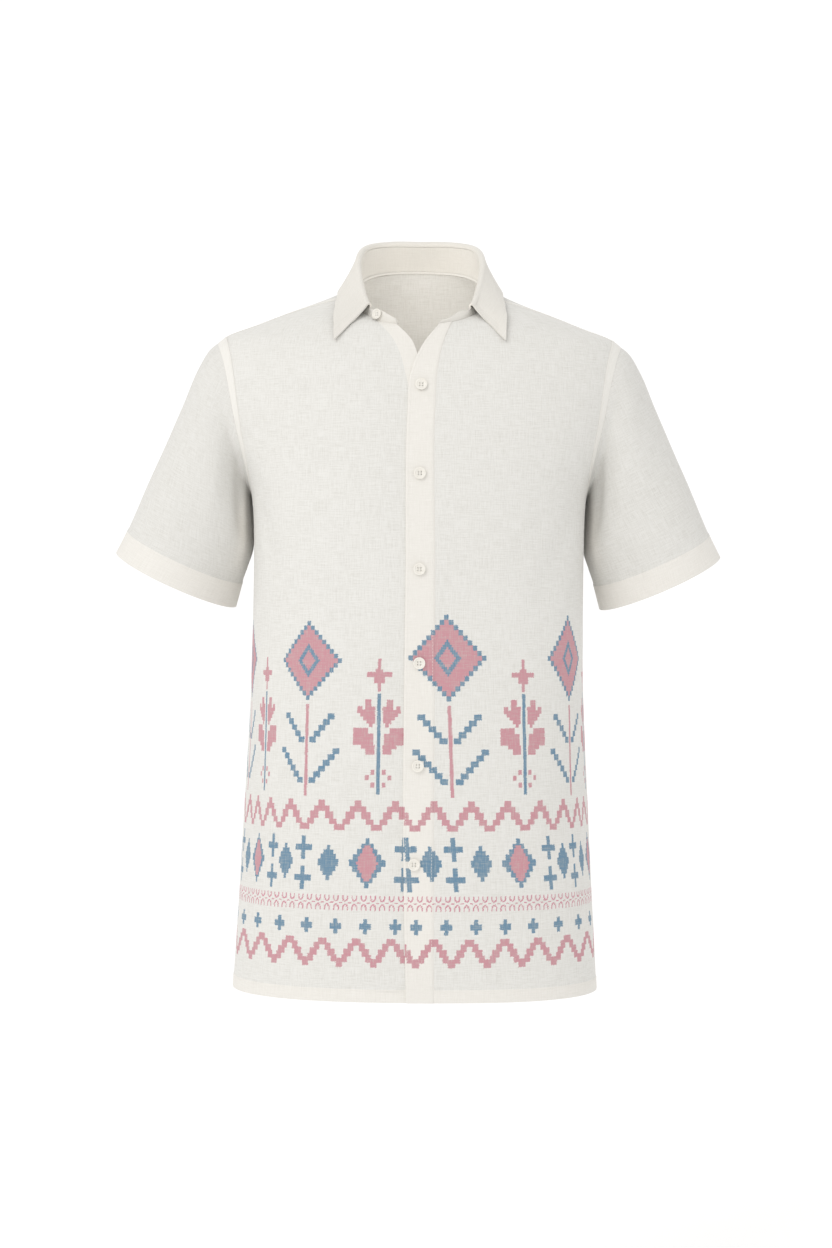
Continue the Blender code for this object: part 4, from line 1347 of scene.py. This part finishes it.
def model_button(radius):
    """A turned button with a rounded rim, a dished middle and four thread holes."""
    bpy.ops.object.select_all(action="DESELECT")
    bpy.ops.mesh.primitive_cylinder_add(
        vertices=40, radius=radius, depth=BUTTON_THICKNESS, location=(0, 0, BUTTON_THICKNESS / 2)
    )
    button = bpy.context.active_object
    bpy.ops.object.transform_apply(location=True, rotation=True, scale=True)
    select_faces(button, lambda face: face.normal.z > 0.9)
    bpy.ops.mesh.inset(thickness=radius * 0.22)
    bpy.ops.mesh.inset(thickness=radius * 0.12)
    bpy.ops.transform.translate(value=(0, 0, -BUTTON_THICKNESS * 0.30))
    bpy.ops.mesh.inset(thickness=radius * 0.10)
    bpy.ops.transform.translate(value=(0, 0, -BUTTON_THICKNESS * 0.06))
    bpy.ops.object.mode_set(mode="OBJECT")
    select_faces(button, lambda face: face.normal.z < -0.9)
    bpy.ops.transform.resize(value=(0.88, 0.88, 1), center_override=(0, 0, 0))
    bpy.ops.object.mode_set(mode="OBJECT")
    for x, y in ((1, 1), (-1, 1), (-1, -1), (1, -1)):
        place = (x * radius * 0.21, y * radius * 0.21, BUTTON_THICKNESS / 2)
        bpy.ops.mesh.primitive_cylinder_add(
            vertices=12, radius=radius * 0.115, depth=BUTTON_THICKNESS * 3, location=place
        )
        pin = bpy.context.active_object
        cut = button.modifiers.new("thread_hole", "BOOLEAN")
        cut.operation = "DIFFERENCE"
        cut.object = pin
        bpy.context.view_layer.objects.active = button
        bpy.ops.object.modifier_apply(modifier=cut.name)
        bpy.data.objects.remove(pin)
    rim = button.modifiers.new("soft_rim", "BEVEL")
    rim.width = 0.00045
    rim.segments = 3
    rim.limit_method = "ANGLE"
    rim.angle_limit = math.radians(55)
    bpy.context.view_layer.objects.active = button
    bpy.ops.object.modifier_apply(modifier=rim.name)
    bpy.ops.object.select_all(action="DESELECT")
    button.select_set(True)
    bpy.ops.object.shade_smooth_by_angle(angle=math.radians(40))
    mesh = button.data
    bpy.data.objects.remove(button)
    return mesh


def model_button_thread(radius):
    """Two short bars of thread across the button's holes."""
    pieces = []
    for y in (1, -1):
        place = (0, y * radius * 0.21, BUTTON_THICKNESS * 0.66)
        bar = thread_bar(8, radius * 0.075, radius * 0.42, place)
        for end in (1, -1):
            draw_out(bar, end, radius * 0.05, BUTTON_THICKNESS * 0.35)
            bpy.ops.object.mode_set(mode="OBJECT")
        pieces.append(bar)
    bpy.ops.object.select_all(action="DESELECT")
    for bar in pieces:
        bar.select_set(True)
    bpy.context.view_layer.objects.active = pieces[0]
    bpy.ops.object.join()
    joined = bpy.context.active_object
    bpy.ops.object.shade_smooth_by_angle(angle=math.radians(60))
    mesh = joined.data
    bpy.data.objects.remove(joined)
    return mesh


def lay_on(name, mesh, point, facing, material, slot, *nodes):
    """A copy of a mesh laid on a face, its own +Z looking out of the cloth."""
    facing = Vector(facing)
    aside = Vector((0.0, 0.0, 1.0)).cross(facing).normalized()
    upward = facing.cross(aside)
    turn = Matrix((aside, upward, facing)).transposed().to_4x4()
    copy = mesh.copy()
    copy.transform(Matrix.Translation(Vector(point) + facing * BUTTON_GAP) @ turn)
    copy.materials.clear()
    copy.materials.append(material)
    copy.name = name
    piece = bpy.data.objects.new(name, copy)
    bpy.context.scene.collection.objects.link(piece)
    dress(piece, slot, *nodes)
    return piece


def build_buttons():
    places = []
    for number, (x, height) in enumerate(BUTTONS, start=1):
        ring = ring_at(height)
        angle = front_angle(x, ring)
        point = cloth_point(angle, ring, PLACKET_LIFT)
        places.append((f"button_{number}", BUTTON_RADIUS, point, torso_normal(angle, ring)))
    grid = stand_half(COLLAR_BUTTON_ANGLE + np.array((-0.5, 0.0, 0.5)), False)
    middle = STAND_ROWS // 2, 1
    mirror = np.array((-1, 1, 1))
    point = grid[middle] * mirror
    places.append(("button_collar", COLLAR_BUTTON_RADIUS, point, grid_normal(grid)[middle] * mirror))
    shapes = {
        radius: (model_button(radius), model_button_thread(radius))
        for radius in (BUTTON_RADIUS, COLLAR_BUTTON_RADIUS)
    }
    for node, radius, point, facing in places:
        shell, thread = shapes[radius]
        lay_on(f"shell_{node}", shell, point, facing, SHELL_FINISH, "button", node)
        lay_on(f"thread_{node}", thread, point, facing, THREAD_FINISH, "linen_trim")


def hem_line(name, edges):
    """Stitches along a panel's turned hem."""
    height = HEM_Z + HEM_HEIGHT - SEAM_STITCH
    first, last = [edge(ring_at(height)) for edge, _ in edges]
    angle = np.linspace(first, last, 120)[2:-2]
    return stitch_line(name, *on_torso(angle, ring_at(height), HEM_RAISE))


def build_fronts():
    spread = spread_shares(FRONT_COLUMNS)
    right = side_seam(-1, mirror=True), strip(BAND, "left_x")
    left = strip(PLACKET, "right_x"), side_seam(-1)
    panels = (
        ("right", "under", right, right_front_lift, UNDER_FRONT, -1, SPREAD_UNDER),
        ("left", "top", left, seam_dips(last=True), TOP_FRONT, 0, SPREAD_TOP),
    )
    for side, lying, edges, lift, phases, straight, spreading in panels:
        node = f"front_{side}"
        finish = linen(f"linen_{lying}_front", LINEN, BODY_WEAVE, HEM_HEIGHT, phases)
        torso_panel(
            f"{node}_cloth", node, "linen_body", finish, edges, spread, lift, CLOTH,
            [hem_line(f"hem_stitches_{node}", edges)], straight=straight, spreading=spreading,
        )


def build_strips():
    stitches = [
        stitch_line(f"placket_stitches_{side}", *beside_edge(PLACKET, f"{side}_x", inset, PLACKET_LIFT))
        for side, inset in (("left", STRIP_STITCH), ("right", -STRIP_STITCH))
    ]
    strips = (
        ("placket", "left", PLACKET, placket_lift, TOP_FRONT, SPREAD_TOP, stitches),
        ("button_band", "right", BAND, band_lift, UNDER_FRONT, SPREAD_UNDER, []),
    )
    for name, side, rows, lift, phases, spreading, sewn in strips:
        edges = strip(rows, "left_x"), strip(rows, "right_x")
        finish = linen(f"linen_{name}", WARM_LINEN, FINE_WEAVE, HEM_HEIGHT, phases)
        torso_panel(
            f"{name}_cloth", f"{name}_{side}", "linen_trim", finish, edges, np.array(STRIP_SHARES),
            lift, TWO_LAYERS, sewn, spreading=spreading,
        )


def build_back_and_yoke():
    seam = yoke_row()
    spread = spread_shares(BACK_COLUMNS)
    middle = len(spread) // 2
    edges = side_seam(1), side_seam(1, mirror=True)
    finish = linen("linen_back", LINEN, BODY_WEAVE, HEM_HEIGHT, BACK)
    torso_panel(
        "back_cloth", "back", "linen_body", finish, edges, spread, seam_dips(True, True), CLOTH,
        [hem_line("hem_stitches_back", edges)], rows=slice(0, seam + 1), straight=middle, behind=True,
    )
    angle, ring = panel_grid(slice(seam, seam + 3), *edges, spread)
    points, normals = on_torso(angle[0], ring[0])
    upward = unit(cloth_point(angle[2], ring[2]) - points)
    sewn = sewn_tape(
        "yoke_seam_tape", "yoke_stitches", points, upward, normals, YOKE_TAPE, SEAM_STITCH, inset=2
    )
    sewn += shoulder_tape("left", 1) + shoulder_tape("right", -1)
    finish = linen("linen_yoke", LINEN, YOKE_WEAVE, 0.0)
    torso_panel(
        "yoke_cloth", "yoke", "linen_body", finish, edges, spread, seam_dips(), TWO_LAYERS, sewn,
        rows=slice(seam, None), straight=middle, behind=True,
    )


def build_sleeves():
    finish = linen("linen_sleeves", SLEEVE_LINEN, BODY_WEAVE, CUFF_HEIGHT)
    for name, side in (("left", 1), ("right", -1)):
        piece, outer = build_sleeve(f"sleeve_{name}_cloth", side, finish)
        dress(piece, "linen_body", f"sleeve_{name}")
        places = sleeve_places()[::-1]
        row = int(np.argmin(np.abs(places - (SLEEVE_HEM + 0.012))))
        normals = grid_normal(np.concatenate((outer, outer[:, :1]), axis=1))[row, :-1]
        sewn = armhole_tape(name, side)
        sewn.append(stitch_line(f"cuff_stitches_{name}", outer[row], normals, closed=True))
        cloth_sheet(outer, sewn, wrapped=True)


def build_collar():
    finish = linen("linen_collar", COLLAR_LINEN, FINE_WEAVE, 0.0)
    piece, outer = build_stand(finish)
    dress(piece, "linen_trim", "collar_stand")
    normals = grid_normal(outer)
    ends = slice(2, -2)
    inner = outer - normals * TWO_LAYERS
    upward = unit(inner[2] - inner[1])
    stitched = inner[0] + upward * (NECK_TAPE + 0.0008)
    sewn = [
        stitch_line("stand_stitches", outer[1, ends], normals[1, ends]),
        tape("neck_seam", inner[0], upward, -normals[1], NECK_TAPE),
        stitch_line("neck_stitches", stitched[ends], -normals[1, ends]),
    ]
    cloth_sheet(outer, sewn)

    piece, outer = build_fall(finish)
    dress(piece, "linen_trim", "collar_fall")
    beside = slice(ROLL_ROWS + 2, -3)
    line, normals = [
        np.concatenate((grid[beside, 3], grid[-3, 3:-3], grid[beside, -4][::-1]))
        for grid in (outer, grid_normal(outer))
    ]
    cloth_sheet(outer, [stitch_line("fall_stitches", line, normals)])


def build_stage():
    """A pale floor that rises softly into a pale backdrop, far behind."""
    bpy.ops.object.select_all(action="DESELECT")
    bpy.ops.mesh.primitive_grid_add(x_subdivisions=2, y_subdivisions=60, size=2, location=(0, 0, 0))
    floor = bpy.context.active_object
    for vertex in floor.data.vertices:
        along = vertex.co.y
        turn = min(max(0.0, along / FLOOR_RISE - 1), 1.0) * math.pi / 2
        wall_height = FLOOR_DEPTH * max(0.0, along - 2 * FLOOR_RISE)
        vertex.co.x *= FLOOR_WIDTH
        vertex.co.y = min(along, FLOOR_RISE) * FLOOR_DEPTH + FLOOR_CURVE * math.sin(turn)
        vertex.co.z = FLOOR_Z + FLOOR_CURVE * (1 - math.cos(turn)) + wall_height
    bpy.ops.object.shade_smooth()
    floor.name = "floor"
    finish = simple_finish("pale_floor", (0.98, 0.98, 0.98, 1.0), (0.99, 0.99, 0.99, 1.0), 1.5, 0.9, 0.0001)
    shader = finish.node_tree.nodes["Principled BSDF"]
    shader.inputs["Emission Color"].default_value = (0.98, 0.99, 1.0, 1.0)
    shader.inputs["Emission Strength"].default_value = 0.08
    floor.data.materials.append(finish)


def soft_light(name, place, aim, width, height, watts, colour):
    """A soft light that the camera doesn't see."""
    light = bpy.data.lights.new(name, "AREA")
    light.shape = "RECTANGLE"
    light.size = width
    light.size_y = height
    light.energy = watts
    light.color = colour
    lamp = bpy.data.objects.new(name, light)
    lamp.location = place
    lamp.rotation_euler = (Vector(aim) - Vector(place)).to_track_quat("-Z", "Y").to_euler()
    lamp.visible_camera = False
    bpy.context.scene.collection.objects.link(lamp)


def build_light():
    """An even pale studio, a soft light at the upper left, and what comes through thin cloth."""
    world = bpy.data.worlds.new("studio")
    bpy.context.scene.world = world
    world.use_nodes = True
    background = world.node_tree.nodes["Background"]
    background.inputs["Color"].default_value = (1.0, 0.995, 0.985, 1.0)
    background.inputs["Strength"].default_value = 0.94
    for light in LIGHTS:
        soft_light(*light)


def build_camera():
    camera = bpy.data.cameras.new("camera")
    camera.lens = LENS
    camera.sensor_width = 36.0
    camera.sensor_fit = "AUTO"
    holder = bpy.data.objects.new("camera", camera)
    holder.location = CAMERA_PLACE
    holder.rotation_euler = (Matrix.Rotation(math.radians(90), 4, "X")
                             @ Matrix.Rotation(CAMERA_ROLL, 4, "Z")).to_euler()
    bpy.context.scene.collection.objects.link(holder)
    bpy.context.scene.camera = holder
    bpy.context.scene.view_settings.view_transform = "Standard"


WEAVE = linen_weave()
PRINT = folk_print()
STITCH = one_stitch()
TRIM = linen("linen_trim_strips", TAPE_LINEN, FINE_WEAVE, 0.0)
THREAD_FINISH = simple_finish("sewing_thread", *THREAD, 900.0, 0.7, 0.0001)
SHELL_FINISH = simple_finish("shell_button", *SHELL, 260.0, 0.32, 0.00002)

build_fronts()
build_strips()
build_back_and_yoke()
build_sleeves()
build_collar()
build_buttons()
build_stage()
build_light()
build_camera()
